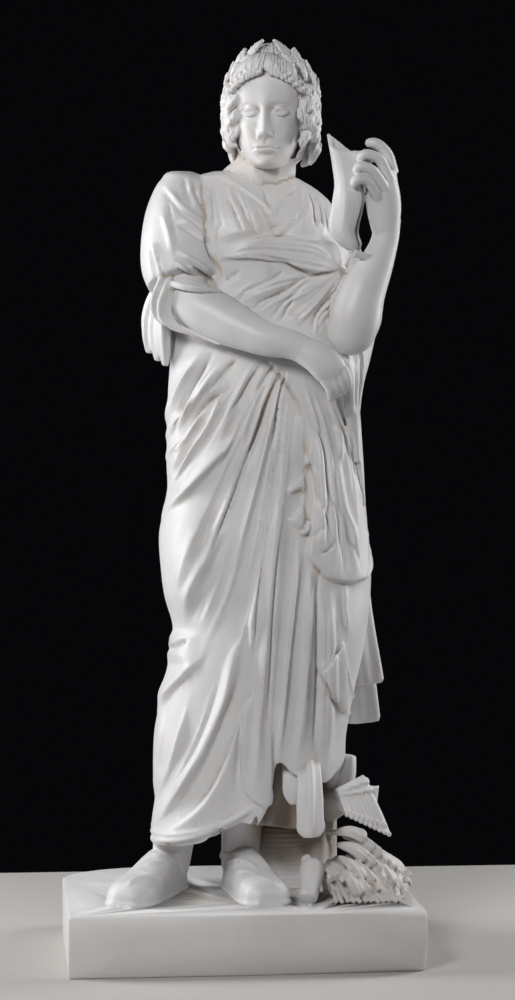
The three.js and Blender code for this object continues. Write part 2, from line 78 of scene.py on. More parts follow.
def smooth(low, high, value):
    """0 below low, 1 above high and an even ease between them."""
    t = np.clip((value - low) / (high - low), 0, 1)
    return t * t * (3 - 2 * t)


def seen(x, z, y):
    """A place on the middle plane carried to depth y along the viewer's line of sight."""
    x, z, y = np.broadcast_arrays(np.asarray(x, float), np.asarray(z, float), np.asarray(y, float))
    k = (y - EYE[1]) / -EYE[1]
    return np.stack([EYE[0] + (x - EYE[0]) * k, y, EYE[2] + (z - EYE[2]) * k], -1)


def from_front(places):
    """Where the standing viewer sees each place, as x and z on the middle plane."""
    k = -EYE[1] / (places[:, 1] - EYE[1])
    return np.stack([EYE[0] + (places[:, 0] - EYE[0]) * k, EYE[2] + (places[:, 2] - EYE[2]) * k], -1)


def line_through(points, step=10.0):
    """An even curve through a few points, as closely spaced points."""
    points = np.asarray(points, float)
    if len(points) < 2:
        return points
    chord = np.r_[0, np.cumsum(np.linalg.norm(np.diff(points, axis=0), axis=1))]
    count = max(2, int(chord[-1] / step) + 1)
    return along(np.c_[chord, points], np.linspace(0, chord[-1], count))


def near(flat, line, reach):
    """For the points within reach of a line: their numbers, signed distance and share of its length."""
    low, high = line.min(0) - reach, line.max(0) + reach
    pick = np.flatnonzero(np.all((flat > low) & (flat < high), axis=1))
    p = flat[pick]
    best = np.full(len(p), np.inf)
    side = np.ones(len(p))
    place = np.zeros(len(p))
    count = len(line) - 1
    for i in range(count):
        a, run = line[i], line[i + 1] - line[i]
        off = p - a
        t = np.clip((off @ run) / (run @ run + 1e-9), 0, 1)
        rest = off - t[:, None] * run
        gap = np.hypot(rest[:, 0], rest[:, 1])
        closer = gap < best
        best = np.where(closer, gap, best)
        side = np.where(closer, np.sign(run[0] * off[:, 1] - run[1] * off[:, 0]), side)
        place = np.where(closer, (i + t) / count, place)
    return pick, best * np.where(side == 0, 1, side), place


PROFILES = {
    "crest": lambda u: np.clip(1.04 - np.sqrt(u * u + 0.02), 0, 1) ** 1.6 / 0.84,
    "tube": lambda u: np.sqrt(np.clip(1 - u * u, 0, 1)) ** 1.5,
    "swell": lambda u: np.clip(1 - u * u, 0, 1) ** 2,
    "crease": lambda u: np.clip(1 - np.abs(u), 0, 1) ** 1.7,
}


def relief(flat, strokes, kind, fade=0.16):
    """The height of strokes (rise, left, right, x, z, x, z...): where they cross, the highest wins."""
    total = np.zeros(len(flat))
    for rise, left, right, *run in strokes:
        line = line_through(np.reshape(run, (-1, 2)))
        (left, left_end), (right, right_end) = (w if isinstance(w, tuple) else (w, w) for w in (left, right))
        pick, gap, place = near(flat, line, max(left, left_end, right, right_end))
        width = np.where(gap < 0, left + (left_end - left) * place, right + (right_end - right) * place)
        taper = smooth(0, fade + 1e-3, place) * smooth(0, fade + 1e-3, 1 - place)
        total[pick] += (rise * PROFILES[kind](gap / width) * (0.15 + 0.85 * taper)) ** 4
    return total**0.25


def pleats(first, last, count, rise, start, end):
    """Strokes spread evenly between two guide lines of as many points, with widths at their start and end."""
    first, last = np.reshape(first, (-1, 2)).astype(float), np.reshape(last, (-1, 2)).astype(float)
    strokes = []
    for i in range(count):
        share = (i + 0.5 + 0.18 * math.sin(2.4 * i)) / count
        high = rise * (0.75 + 0.35 * math.sin(1.9 * i + 1))
        line = first * (1 - share) + last * share
        strokes.append((high, (start, end), (start, 0.8 * end), *line.ravel()))
    return strokes


def inside(flat, outline):
    """Whether each point is inside a closed outline."""
    a, b = outline, np.roll(outline, -1, axis=0)
    x, z = flat[:, :1], flat[:, 1:]
    rises = (a[:, 1] > z) != (b[:, 1] > z)
    cross = (b[:, 0] - a[:, 0]) * (z - a[:, 1]) / (b[:, 1] - a[:, 1] + 1e-9) + a[:, 0]
    return (rises & (x < cross)).sum(1) % 2 == 1


def ledge(flat, outline, rise, edge=4.0, bead=0.0):
    """The height of a cloth lying inside an outline, with a steep edge and a bead along it."""
    outline = np.reshape(outline, (-1, 2)).astype(float)
    ring = line_through(np.vstack([outline, outline[:1]]), 8.0)
    pick, gap, _ = near(flat, ring, 60.0)
    low, high = outline.min(0), outline.max(0)
    boxed = np.flatnonzero(np.all((flat > low) & (flat < high), axis=1))
    within = np.zeros(len(flat), bool)
    within[boxed] = inside(flat[boxed], ring)
    signed = np.full(len(flat), 60.0)
    signed[pick] = np.abs(gap)
    signed = np.where(within, signed, -signed)
    height = rise * smooth(-edge, edge, signed)
    return height + bead * np.exp(-(((signed - 7) / 5) ** 2)) * within


def mesh_object(name, mesh):
    """The mesh as an object in the scene."""
    piece = bpy.data.objects.new(name, mesh)
    bpy.context.scene.collection.objects.link(piece)
    return piece


def made(name, form):
    """The finished form as an object of its own."""
    mesh = bpy.data.meshes.new(name)
    form.to_mesh(mesh)
    form.free()
    return mesh_object(name, mesh)


def places_of(piece):
    """Where the piece's points are, in millimetres."""
    co = np.empty(len(piece.data.vertices) * 3, np.float32)
    piece.data.vertices.foreach_get("co", co)
    return co.reshape(-1, 3).astype(float) / MM


def normals_of(piece):
    """Which way the piece faces at each point."""
    out = np.empty(len(piece.data.vertices) * 3, np.float32)
    piece.data.vertices.foreach_get("normal", out)
    return out.reshape(-1, 3).astype(float)


def put(piece, places):
    """Moves the piece's points to places in millimetres."""
    piece.data.vertices.foreach_set("co", (places * MM).astype(np.float32).ravel())
    piece.data.update()


def settle(piece, *modifiers):
    """Adds modifiers given as (type, settings), applies them and returns the piece."""
    for kind, settings in modifiers:
        added = piece.modifiers.new(kind.title(), kind)
        for key, value in settings.items():
            setattr(added, key, value)
    depsgraph = bpy.context.evaluated_depsgraph_get()
    final = bpy.data.meshes.new_from_object(piece.evaluated_get(depsgraph), depsgraph=depsgraph)
    old = piece.data
    piece.modifiers.clear()
    piece.data = final
    bpy.data.meshes.remove(old)
    return piece


BALLS = {}


def ball(sides, rings, finer):
    """A ball of that many sides and rings, each face then quartered finer times. Each kind is made once."""
    if (sides, rings, finer) not in BALLS:
        form = bmesh.new()
        bmesh.ops.create_uvsphere(form, u_segments=sides, v_segments=rings, radius=1)
        piece = made("ball", form)
        if finer:
            settle(piece, ("SUBSURF", {"levels": finer, "render_levels": finer}))
        BALLS[sides, rings, finer] = piece.data
        bpy.data.objects.remove(piece)
    return BALLS[sides, rings, finer].copy()


def skin(name, sides, rings, shape, finer=1):
    """A closed skin bent from a ball: shape(angle, t, r) gives the places. At the flat ends r falls to 0."""
    piece = mesh_object(name, ball(sides, rings, finer))
    co = places_of(piece) * MM
    co /= np.linalg.norm(co, axis=1)[:, None]
    polar = np.arccos(np.clip(co[:, 2], -1, 1)) / math.pi
    cap = 2.0 / (rings * 2**finer)
    r = np.clip(np.minimum(polar, 1 - polar) / cap, 0, 1)
    t = np.clip((polar - cap) / (1 - 2 * cap), 0, 1)
    put(piece, shape(np.arctan2(co[:, 1], co[:, 0]), t, r))
    form = bmesh.new()
    form.from_mesh(piece.data)
    if form.calc_volume(signed=True) < 0:
        bmesh.ops.reverse_faces(form, faces=form.faces)
        form.to_mesh(piece.data)
    form.free()
    return piece


def limb(name, points, rows, sides=12, rings=12, side=(0, 1, 0), finer=2, girth=None):
    """A rounded limb along a few points. Rows give its half width and half depth by share of length."""
    path = line_through(points, PATH_STEP)
    chord = np.r_[0, np.cumsum(np.linalg.norm(np.diff(path, axis=0), axis=1))]
    chord /= chord[-1]
    table = np.c_[chord, path]

    def shape(angle, t, r):
        centre = along(table, t)
        ahead = along(table, np.minimum(t + 0.01, 1)) - along(table, np.maximum(t - 0.01, 0))
        ahead /= np.linalg.norm(ahead, axis=1)[:, None]
        u = np.cross(ahead, side)
        u /= np.linalg.norm(u, axis=1)[:, None]
        v = np.cross(u, ahead)
        wide, deep = along(rows, t).T
        full = r if girth is None else r * girth(angle, t)
        return centre + u * (full * wide * np.cos(angle))[:, None] + v * (full * deep * np.sin(angle))[
            :, None,
        ]

    return skin(name, sides, rings, shape, finer)


def strand(name, points, rows, grooves=5, depth=0.12, phase=0.0, twist=0.0, side=(0, 1, 0), finer=1):
    """A limb grooved along its length, such as a lock of hair or a pleated cloth."""

    def girth(angle, t):
        return 1 + depth * np.cos(grooves * angle + phase + twist * t) * smooth(0, 0.1, t)

    return limb(name, points, rows, 12, 12, side, finer, girth)


def lump(name, centre, half, turn=(0, 0, 0), sides=24, rings=16):
    """A rounded lump with three half sizes and turns about x, y and z."""
    form = bmesh.new()
    matrix = Matrix.Translation(Vector(centre) * MM)
    for axis, angle in zip("ZYX", reversed(turn)):
        matrix = matrix @ Matrix.Rotation(angle, 4, axis)
    matrix = matrix @ Matrix.Diagonal((*[h * MM for h in half], 1))
    bmesh.ops.create_uvsphere(form, u_segments=sides, v_segments=rings, radius=1, matrix=matrix)
    return made(name, form)


def fused(name, pieces, voxel, faces, lines=None):
    """The pieces grown into one skin at a voxel size in mm, softened, and thinned to a number of faces."""
    form = bmesh.new()
    for piece in pieces:
        form.from_mesh(piece.data)
        bpy.data.objects.remove(piece)
    whole = made(name, form)
    settle(whole, ("REMESH", {"mode": "VOXEL", "voxel_size": voxel * MM}))
    settle(whole, ("SMOOTH", {"factor": 0.5, "iterations": 1}))
    if lines:
        carve(whole, lines)
    return thin(whole, faces)


def thin(piece, faces):
    """Thins a piece to about that many triangles, keeping its relief."""
    now = sum(len(p.vertices) - 2 for p in piece.data.polygons)
    if now > faces:
        settle(piece, ("DECIMATE", {"ratio": faces / now}))
    return piece


def carve(piece, height):
    """Moves each place out along its normal by height(flat, places, normals)."""
    places, normals = places_of(piece), normals_of(piece)
    towards = EYE - places
    towards /= np.linalg.norm(towards, axis=1)[:, None]
    facing = (normals * towards).sum(1)
    raised = height(from_front(places), places, normals, facing)
    put(piece, places + normals * raised[:, None])
    return piece


# ---- The robe ----------------------------------------------------------------------------------------

CHEST_Y = -20.0
SQUARE = 2.3
# Height, left, right, front, back.
ROBE = [
    (205, -172, 205, -165, 150), (250, -177, 214, -168, 155), (310, -170, 222, -172, 155),
    (440, -168, 227, -178, 155), (520, -157, 240, -185, 155), (600, -139, 258, -198, 152),
    (660, -131, 268, -198, 150), (760, -150, 276, -188, 150), (850, -160, 270, -178, 152),
    (920, -145, 264, -168, 150), (1000, -146, 256, -160, 148), (1060, -144, 253, -152, 142),
    (1150, -142, 262, -142, 134), (1200, -138, 275, -138, 130), (1280, -128, 288, -140, 130),
    (1360, -116, 268, -146, 130), (1440, -110, 232, -140, 124), (1500, -106, 205, -118, 112),
    (1530, -104, 180, -102, 98), (1552, -98, 150, -88, 84), (1568, -86, 118, -74, 66),
    (1578, -52, 84, -50, 46),
]
NECK_OPENING = (-34, 1580, 0, 1551, 28, 1533, 56, 1512, 74, 1494, 84, 1518, 110, 1541, 126, 1566, 60, 1600)
# The lower edge by x: low over the left foot, lifted over the right.
HEM = [
    (-180, 214), (-140, 211), (-95, 210), (-43, 230), (8, 256), (62, 292), (76, 372), (116, 356),
    (155, 336), (190, 340), (225, 385),
]
BACK_HEM = 208

# Broad forms under the cloth: rise, reach to the left and right, then x, z along them.
BODY_FORMS = [
    (16, 80, 90, -70, 930, -95, 780, -100, 640),
    (12, 50, 45, -105, 655, -108, 575),
    (10, 60, 60, -120, 500, -140, 300),
    (14, 70, 70, 10, 1500, 20, 1440),
    (12, 70, 70, 150, 1490, 140, 1440),
]
TROUGHS = [
    (16, 9, 12, 112, 1169, 100, 1106, 90, 1052, 80, 1000),
    (22, 17, 20, 84, 1020, 68, 940, 55, 889, 45, 840, 33, 780, 18, 700, -6, 640, -30, 596),
    (24, 28, 24, -20, 640, -47, 570, -66, 507, -85, 443, -111, 386, -142, 332, -165, 275),
    (26, 22, 26, 30, 640, 20, 545, -9, 481, -28, 430, -47, 385, -69, 340, -95, 305, -126, 270, -158, 248),
    (14, 24, 22, -104, 552, -122, 500, -132, 430, -142, 360, -156, 290),
    (10, 12, 12, 118, 830, 111, 735, 95, 585, 80, 434, 76, 400),
    (16, 10, 12, 140, 790, 134, 740, 126, 660, 114, 547, 103, 400, 100, 372),
    (20, 9, 9, 170, 770, 166, 740, 165, 660, 164, 547, 160, 400, 158, 350),
    (8, 9, 9, 14, 500, 8, 430, 4, 370, 2, 330),
    (8, 16, 18, 20, 1080, -2, 1000, -28, 930, -52, 870, -74, 800),
    (7, 18, 18, 60, 1140, 36, 1060, 12, 980, -10, 900, -34, 820, -56, 740),
    (8, 20, 20, -40, 800, -66, 720, -84, 660),
    (10, 14, 14, 215, 740, 214, 660, 212, 560, 212, 450),
]
CRESTS = [
    (10, 15, 12, -70, 1214, -105, 1160, -126, 1115, -146, 1056),
    (11, 13, 12, -30, 1190, -58, 1150, -83, 1117, -102, 1094, -126, 1062, -150, 1030),
    (8, 12, 9, -60, 1100, -83, 1069, -107, 1039, -123, 1020, -148, 994),
    (10, 12, 9, -24, 1150, -44, 1093, -66, 1055, -85, 1025, -104, 990, -121, 960, -144, 900),
    (7, 10, 8, -80, 996, -99, 960, -113, 932, -142, 888),
    (14, 40, 8, 8, 1052, -28, 1006, -61, 970, -85, 943, -107, 919, -152, 880),
    (6, 20, 12, 44, 1196, 20, 1160, -4, 1110, -24, 1060, -44, 1010),
    (7, 18, 10, 74, 1194, 52, 1140, 34, 1090, 10, 1030, -20, 960, -50, 880),
    (12, 22, 9, 90, 1190, 70, 1140, 52, 1094, 40, 1056, 26, 1016, 12, 972, -4, 925, -26, 860, -46, 800),
    (8, 10, 9, 100, 1186, 88, 1130, 74, 1080, 60, 1020, 48, 970, 34, 915, 16, 850, -4, 780, -24, 710),
    (7, 7, 7, 107, 1180, 98, 1120, 90, 1070, 80, 1010),
    (5, 16, 10, 58, 1010, 42, 950, 24, 880, 6, 800, -14, 730, -40, 660),
    (14, 34, 10, -66, 596, -100, 560, -125, 535, -158, 488),
    (16, 26, 11, -80, 480, -105, 423, -126, 380, -146, 338, -168, 288),
    (18, 24, 22, 4, 640, -8, 570, -25, 494, -47, 440, -69, 392, -92, 354, -111, 322, -142, 281, -176, 244),
    (16, 16, 50, 34, 570, 20, 500, 0, 437, -18, 379, -41, 328, -66, 290, -95, 264, -127, 247, -170, 230),
    (12, 22, 20, 54, 560, 46, 470, 42, 400, 40, 320),
    (12, 12, 24, 60, 900, 52, 840, 42, 770, 36, 700, 30, 620, 26, 540),
    (12, 34, 30, 104, 1040, 96, 960, 84, 860, 74, 760, 66, 660, 56, 560, 48, 470, 40, 380),
    (11, 16, 16, 130, 850, 124, 740, 114, 640, 100, 520, 90, 420, 86, 370),
    (12, 15, 15, 154, 800, 150, 700, 146, 600, 136, 480, 128, 400, 124, 350),
    (12, 26, 20, 190, 745, 192, 640, 192, 560, 186, 430, 184, 340),
    (7, 20, 14, -10, 900, -50, 800, -85, 730, -100, 670),
    (6, 20, 20, -60, 880, -92, 800, -112, 720),
    (9, 10, 10, 224, 745, 222, 690, 228, 640),
]
CREASES = [
    (9, 8, 9, -50, 1210, -66, 1182, -85, 1152, -102, 1122, -116, 1086, -130, 1046),
    (8, 7, 8, -14, 1140, -50, 1120, -72, 1098, -96, 1063, -113, 1040, -136, 1006),
    (8, 7, 8, -44, 1110, -66, 1063, -99, 1019, -121, 981, -144, 908),
    (7, 6, 7, 78, 1190, 56, 1158, 40, 1130),
    (14, 8, 9, 97, 1188, 78, 1144, 62, 1106, 48, 1063, 35, 1030, 21, 998, 5, 952, -9, 911,
     -28, 860, -46, 815),
    (8, 5, 5, 105, 1186, 95, 1150, 86, 1101, 80, 1057, 72, 1010),
    (6, 6, 7, 2, 1202, -18, 1180, -31, 1165, -52, 1138),
    (6, 6, 7, 53, 1194, 26, 1152, 10, 1122, -12, 1088),
    (10, 8, 8, -146, 609, -130, 615, -112, 624, -100, 630),
    (5, 5, 6, 62, 850, 52, 760, 44, 690, 38, 600),
    (5, 5, 5, 92, 850, 84, 760, 76, 660, 70, 560, 62, 460),
    (10, 6, 6, 172, 775, 168, 740, 167, 660, 166, 547, 160, 400),
]
FINE_FOLDS = (
    pleats((-40, 1206, -90, 1130, -140, 1040), (-8, 1200, -70, 1090, -140, 960), 5, 3.0, 5, 7)
    + pleats((16, 1198, -30, 1120, -90, 1010), (92, 1190, 40, 1060, -30, 900), 6, 2.2, 4, 8)
    + pleats((104, 1180, 72, 1020, 40, 840, 10, 700), (120, 1150, 108, 990, 90, 840, 70, 700), 7, 2.2, 3, 6)
    + pleats((46, 840, 20, 700, -10, 600), (60, 700, 52, 600, 44, 480), 3, 2.2, 5, 6)
    + pleats((66, 700, 56, 560, 46, 420), (92, 700, 80, 560, 72, 420), 4, 2.0, 4, 5)
    + pleats((176, 740, 176, 600, 172, 400), (206, 740, 208, 600, 204, 420), 3, 2.4, 5, 7)
    + pleats((-20, 860, -60, 740, -100, 640), (20, 820, -20, 700, -70, 600), 4, 1.8, 6, 8)
    + pleats((-40, 560, -90, 430, -150, 300), (-16, 560, -60, 420, -150, 262), 2, 2.5, 6, 7)
)
HEM_ROLLS = [
    (9, 7, 9, -186, 232, -165, 224, -130, 222, -90, 228, -50, 242, 0, 266, 40, 286),
    (6, 6, 6, -186, 246, -150, 234, -110, 234, -60, 246, -20, 264),
]

# The chest: the mantle's rolled band, the tunic's V folds and the gathers towards the knot.
BAND = (-30, 1404, -8, 1418, 24, 1434, 60, 1443, 100, 1444, 150, 1446, 196, 1442, 214, 1424, 214, 1388,
        196, 1382, 160, 1376, 125, 1386, 100, 1398, 60, 1404, 20, 1404)
BAND_ENDS = [
    (6, 7, 9, 0, 1424, 60, 1442, 120, 1443, 180, 1440),
    (8, 8, 8, 176, 1446, 200, 1434, 210, 1410, 212, 1390),
    (7, 7, 7, 212, 1392, 226, 1376, 234, 1350),
]
BAND_TUBES = pleats(
    (-26, 1406, 40, 1405, 110, 1390, 160, 1378, 206, 1380),
    (-10, 1418, 40, 1436, 100, 1440, 160, 1434, 208, 1398), 5, 5, 5, 9,
) + BAND_ENDS
CHEST_CREASES = [
    (12, 10, 10, 75, 1403, 100, 1395, 127, 1380, 162, 1370, 180, 1376, 207, 1380),
    (5, 5, 5, -32, 1568, 0, 1548, 23, 1533, 53, 1510, 71, 1490),
    (5, 5, 5, 56, 1545, 64, 1520, 72, 1508),
    (5, 5, 5, 121, 1543, 111, 1535, 86, 1525),
    (9, 7, 8, 139, 1510, 134, 1500, 122, 1478, 99, 1458, 79, 1442),
    (6, 6, 6, 122, 1480, 102, 1475, 86, 1472, 64, 1469),
    (7, 7, 7, -17, 1530, -2, 1498, 18, 1450),
    (7, 7, 7, -2, 1538, 18, 1498, 36, 1465, 46, 1445),
    (6, 6, 6, 23, 1498, 48, 1450),
    (6, 6, 6, -55, 1545, -51, 1520, -49, 1473),
    (6, 6, 6, -27, 1485, -37, 1460, -46, 1430),
    (9, 8, 8, -64, 1500, -63, 1460, -52, 1415, -35, 1385, -25, 1338),
    (9, 7, 8, 8, 1320, 13, 1333, 31, 1343, 76, 1363, 104, 1385),
    (9, 7, 8, 36, 1302, 53, 1318, 76, 1328, 111, 1348, 137, 1363, 162, 1370),
    (7, 6, 7, 43, 1297, 80, 1325, 127, 1355),
    (7, 6, 7, 74, 1283, 84, 1300, 99, 1315, 127, 1340, 149, 1365),
    (7, 6, 7, 91, 1278, 106, 1305, 121, 1330),
    (6, 6, 6, 109, 1283, 116, 1290, 137, 1263),
    (8, 7, 7, 159, 1260, 161, 1285, 172, 1303, 190, 1323, 212, 1348, 225, 1360),
    (7, 6, 6, 168, 1258, 169, 1278, 187, 1303, 200, 1315),
    (7, 6, 6, 177, 1260, 187, 1285, 197, 1305, 220, 1345),
    (8, 7, 8, 142, 1550, 157, 1525, 164, 1485, 167, 1458),
    (7, 7, 7, 157, 1540, 172, 1513, 180, 1460),
    (6, 6, 6, 174, 1535, 187, 1485, 192, 1448),
    (6, 6, 6, -25, 1358, -7, 1370, 8, 1380),
]
CHEST_CRESTS = (
    pleats((-60, 1566, -48, 1500, -40, 1430), (-14, 1560, 4, 1500, 30, 1446), 4, 3.0, 6, 9)
    + pleats((-4, 1548, 16, 1500, 38, 1446), (52, 1512, 62, 1484, 76, 1450), 4, 3.0, 6, 8)
    + pleats((126, 1560, 128, 1505, 96, 1452), (192, 1526, 200, 1486, 204, 1448), 6, 3.4, 7, 9)
    + pleats((70, 1490, 100, 1486, 130, 1506), (64, 1462, 100, 1452, 142, 1474), 3, 3.0, 6, 6)
    + pleats(
        (206, 1384, 120, 1370, 30, 1350, -30, 1322), (212, 1376, 176, 1318, 146, 1280, 120, 1256),
        8, 5.2, 6, 14,
    )
    + pleats(
        (212, 1378, 190, 1320, 160, 1266, 150, 1240), (224, 1380, 222, 1330, 210, 1270, 196, 1240),
        4, 4.5, 6, 10,
    )
)
COLLAR = [(5, 6, 8, -34, 1572, 0, 1552, 28, 1534, 56, 1513, 74, 1496, 84, 1520, 110, 1542, 124, 1560)]

# The mantle's top edge and the layers that lie on the skirt.
MANTLE_TOP = (
    66, 1196, 100, 1193, 130, 1190, 150, 1182, 163, 1165, 178, 1153, 190, 1138, 198, 1117, 206, 1095,
    216, 1060, 226, 1020, 236, 980, 246, 930, 254, 880, 262, 850, 262, 752, 247, 748, 230, 744,
    213, 745, 196, 750, 179, 758, 165, 775, 148, 792, 149, 836, 151, 892, 153, 945, 149, 972, 143, 990,
    147, 1030, 144, 1050, 120, 1120,
)
FLAP_CREASES = [
    (10, 7, 7, 120, 1120, 133, 1107, 150, 1083, 163, 1061, 175, 1036, 183, 1006, 186, 975, 190, 936, 200, 906,
     208, 883, 211, 836),
    (9, 7, 7, 141, 1047, 147, 994, 158, 953, 178, 897, 197, 842),
    (8, 7, 7, 222, 1078, 239, 1036, 245, 975, 259, 933),
    (8, 7, 7, 194, 916, 209, 875, 213, 837, 220, 800, 220, 760),
    (8, 7, 7, 220, 882, 239, 830, 255, 773),
    (7, 7, 7, 203, 1097, 217, 1067, 225, 1025, 233, 981, 239, 939, 245, 892),
    (8, 6, 6, 202, 840, 198, 818, 180, 806, 160, 800),
]
TURN_BACK_CREASES = [
    (13, 8, 8, 226, 628, 200, 590, 170, 552),
    (16, 8, 8, 168, 560, 190, 520, 212, 484, 224, 470),
]
FLAP_CRESTS = [
    (8, 9, 9, 163, 1162, 177, 1150, 191, 1131, 203, 1106, 214, 1075, 222, 1048, 233, 1003,
     242, 961, 253, 911),
    (8, 9, 9, 186, 1075, 200, 1047, 203, 1022, 206, 980),
    (7, 12, 12, 160, 1040, 168, 990, 172, 940, 170, 880, 172, 830),
    (7, 9, 9, 200, 1010, 205, 950, 214, 900, 228, 850, 234, 780),
    (6, 10, 10, 240, 1000, 246, 940, 250, 890),
]
FLAP_FOLDS = pleats(
    (128, 1170, 158, 1060, 166, 930, 164, 762), (188, 1132, 222, 1040, 250, 920, 258, 750), 4, 6, 8, 19,
)
# The seams of both shoes.
SHOE_LINES = [
    (5, 6.5, 6.5, -178, 196, -160, 190, -136, 192, -108, 200),
    (5, 6.5, 6.5, -190, 170, -160, 176, -130, 168, -108, 150),
    (5, 6.5, 6.5, -226, 128, -204, 142, -180, 146, -160, 138),
    (4, 4, 4, -200, 160, -170, 150, -130, 130),
    (5, 6.5, 6.5, -34, 196, -12, 190, 14, 192, 40, 200),
    (5, 6.5, 6.5, -26, 172, 6, 178, 30, 170, 50, 152),
    (5, 5, 5, 4, 120, 30, 138, 60, 138, 84, 122),
    (4, 4, 4, -16, 150, 20, 156, 60, 134),
]
# The zigzag edge beside the flap: each fold's outline and how far it stands out.
ZIGZAG = [
    ((124, 1084, 131, 1084, 138, 955, 136, 945, 110, 932, 106, 938, 108, 945, 114, 1020), 3),
    ((105, 934, 108, 928, 133, 936, 137, 902, 139, 962), 10),
    ((104, 881, 108, 874, 136, 898, 139, 868, 131, 853, 118, 862), 11),
    ((130, 853, 134, 846, 147, 872, 149, 850, 138, 842), 15),
]
# The dark gap between the zigzag and the flap.
FLAP_GAP = (136, 985, 149, 985, 149, 838, 140, 838, 137, 900)
# A corner of the skirt turned over at the right, and the fold that ends the skirt in the middle.
TURN_BACK = (220, 622, 171, 558, 190, 520, 213, 483, 224, 478)
FOLD_END = (14, 500, 10, 420, 13, 340, 19, 318, 34, 302, 64, 286, 68, 330, 73, 392, 68, 500)


def squared(across, depth, square):
    """How far a place on the unit circle is from the middle of a rounded square of that power."""
    return (np.abs(across) ** square + np.abs(depth) ** square) ** (1 / square)


def robe_shape(angle, t, r):
    """The plain robe: from the neck down its outer side, and in under its hem."""
    bottom, top = ROBE[0][0], ROBE[-1][0]
    outer = 0.93
    under = np.clip((t - outer) / (1 - outer), 0, 1)
    across, depth = np.sin(angle), np.cos(angle)
    z = top + (bottom - top) * np.minimum(t / outer, 1)
    left, right, front, back = along(ROBE, z).T
    left, right, front, back = left + 4, right - 4, front + 4, back - 4
    reach = np.where(depth > 0, CHEST_Y - front, back - CHEST_Y)
    round_ = squared(across, depth, SQUARE)
    r = np.where(t > 0.5, 1 - 0.1 * smooth(0, 0.2, under) - 0.9 * smooth(0.2, 1, under), r)
    x = (left + right) / 2 + (right - left) / 2 * across * r / round_
    y = CHEST_Y - reach * depth * r / round_
    k = (y - EYE[1]) / -EYE[1]
    hem = EYE[2] + (along(HEM, EYE[0] + (x - EYE[0]) / k)[..., 0] - EYE[2]) * k
    front = smooth(-0.25, 0.1, depth)
    hem = hem * front + BACK_HEM * (1 - front)
    z = z + (hem - bottom) * np.maximum(0, 1 - (z - bottom) / 300) ** 2 + 150 * smooth(0.04, 0.4, under)
    return np.stack([x, y, z], -1)


def robe_height(flat, places, normals, facing):
    """The main folds, layers and edges of the robe, and the pleats of its back."""
    front = smooth(-0.45, 0.05, facing)
    height = relief(flat, BODY_FORMS, "swell", 0.3)
    height += relief(flat, CRESTS, "crest", 0.3)
    height -= 1.2 * relief(flat, TROUGHS, "swell", 0.3)
    height += ledge(flat, BAND, 8, 6) - ledge(flat, NECK_OPENING, 27, 4)
    flap = ledge(flat, MANTLE_TOP, 1, 3)
    height = height * (1 - 0.8 * flap) + 13 * flap
    height += flap * relief(flat, FLAP_CRESTS, "crest", 0.3)
    height -= 14 * smooth(0, 1, ledge(flat, FLAP_GAP, 1, 2))
    for outline, rise in ZIGZAG:
        height = np.maximum(height, ledge(flat, outline, rise, 2.5))
    height += ledge(flat, TURN_BACK, 9, 3)
    height += ledge(flat, FOLD_END, 12, 3) * (1 - smooth(380, 480, flat[:, 1]))
    turn = np.arctan2(places[:, 0] - 50, places[:, 1])
    drop = places[:, 2]
    sway = turn + 0.00035 * (drop - 800)
    back_folds = 7 * np.cos(15 * sway + 0.8 * np.sin(4 * sway)) + 4 * np.cos(27 * sway + 1.3)
    back_folds = back_folds * smooth(0.1, 0.5, normals[:, 1]) * (1 - smooth(1350, 1520, drop))
    return height * front + back_folds


def cloth_lines(flat, places, normals, facing):
    """The finer folds, cut after the cloth is one skin."""
    height = relief(flat, FINE_FOLDS, "crest", 0.3) + relief(flat, CHEST_CRESTS, "crest", 0.25)
    height += relief(flat, BAND_TUBES, "crest", 0.12) + relief(flat, HEM_ROLLS + COLLAR, "tube")
    height += relief(flat, SLEEVE_CRESTS, "crest", 0.25)
    height += relief(flat, FLAP_FOLDS + SHOE_LINES, "crest", 0.2)
    height -= 1.3 * relief(flat, CREASES, "crease", 0.3) + 0.6 * relief(
        flat, FLAP_CREASES + TURN_BACK_CREASES, "crease", 0.3,
    )
    height -= relief(flat, CHEST_CREASES + SLEEVE_CREASES, "crease", 0.3)
    return height * smooth(-0.3, 0.15, facing)


def make_robe():
    """The robe with its main folds."""
    robe = skin("robe", 48, 60, robe_shape, 3)
    return carve(robe, robe_height)


def make_hanging_ends():
    """The cloth ends that hang free below the skirt at the right."""
    tab = [seen(146, 420, -110), seen(150, 336, -160), seen(152, 262, -178), seen(155, 222, -182)]
    inner = [seen(120, 430, -100), seen(122, 350, -134), seen(120, 290, -140)]
    under = [seen(100, 470, -10), seen(92, 340, -24), seen(80, 246, -34)]
    tab_rows = [(0, 16, 12), (0.4, 22, 14), (0.8, 24, 15), (0.94, 23, 12), (1, 14, 7)]
    inner_rows = [(0, 20, 12), (0.6, 24, 12), (0.9, 18, 10), (1, 9, 6)]
    under_rows = [(0, 60, 30), (0.6, 66, 36), (1, 70, 38)]
    return [
        strand("tab", tab, tab_rows, 5, 0.2, 0.5, 1.4, finer=2),
        strand("inner_end", inner, inner_rows, 5, 0.2, 0.5, 1.6, finer=2),
        strand("under_robe", under, under_rows, 9, 0.26, 0.5, 3.0, finer=2),
    ]


# ---- Side cascade, sleeve and bundle -----------------------------------------------------------------


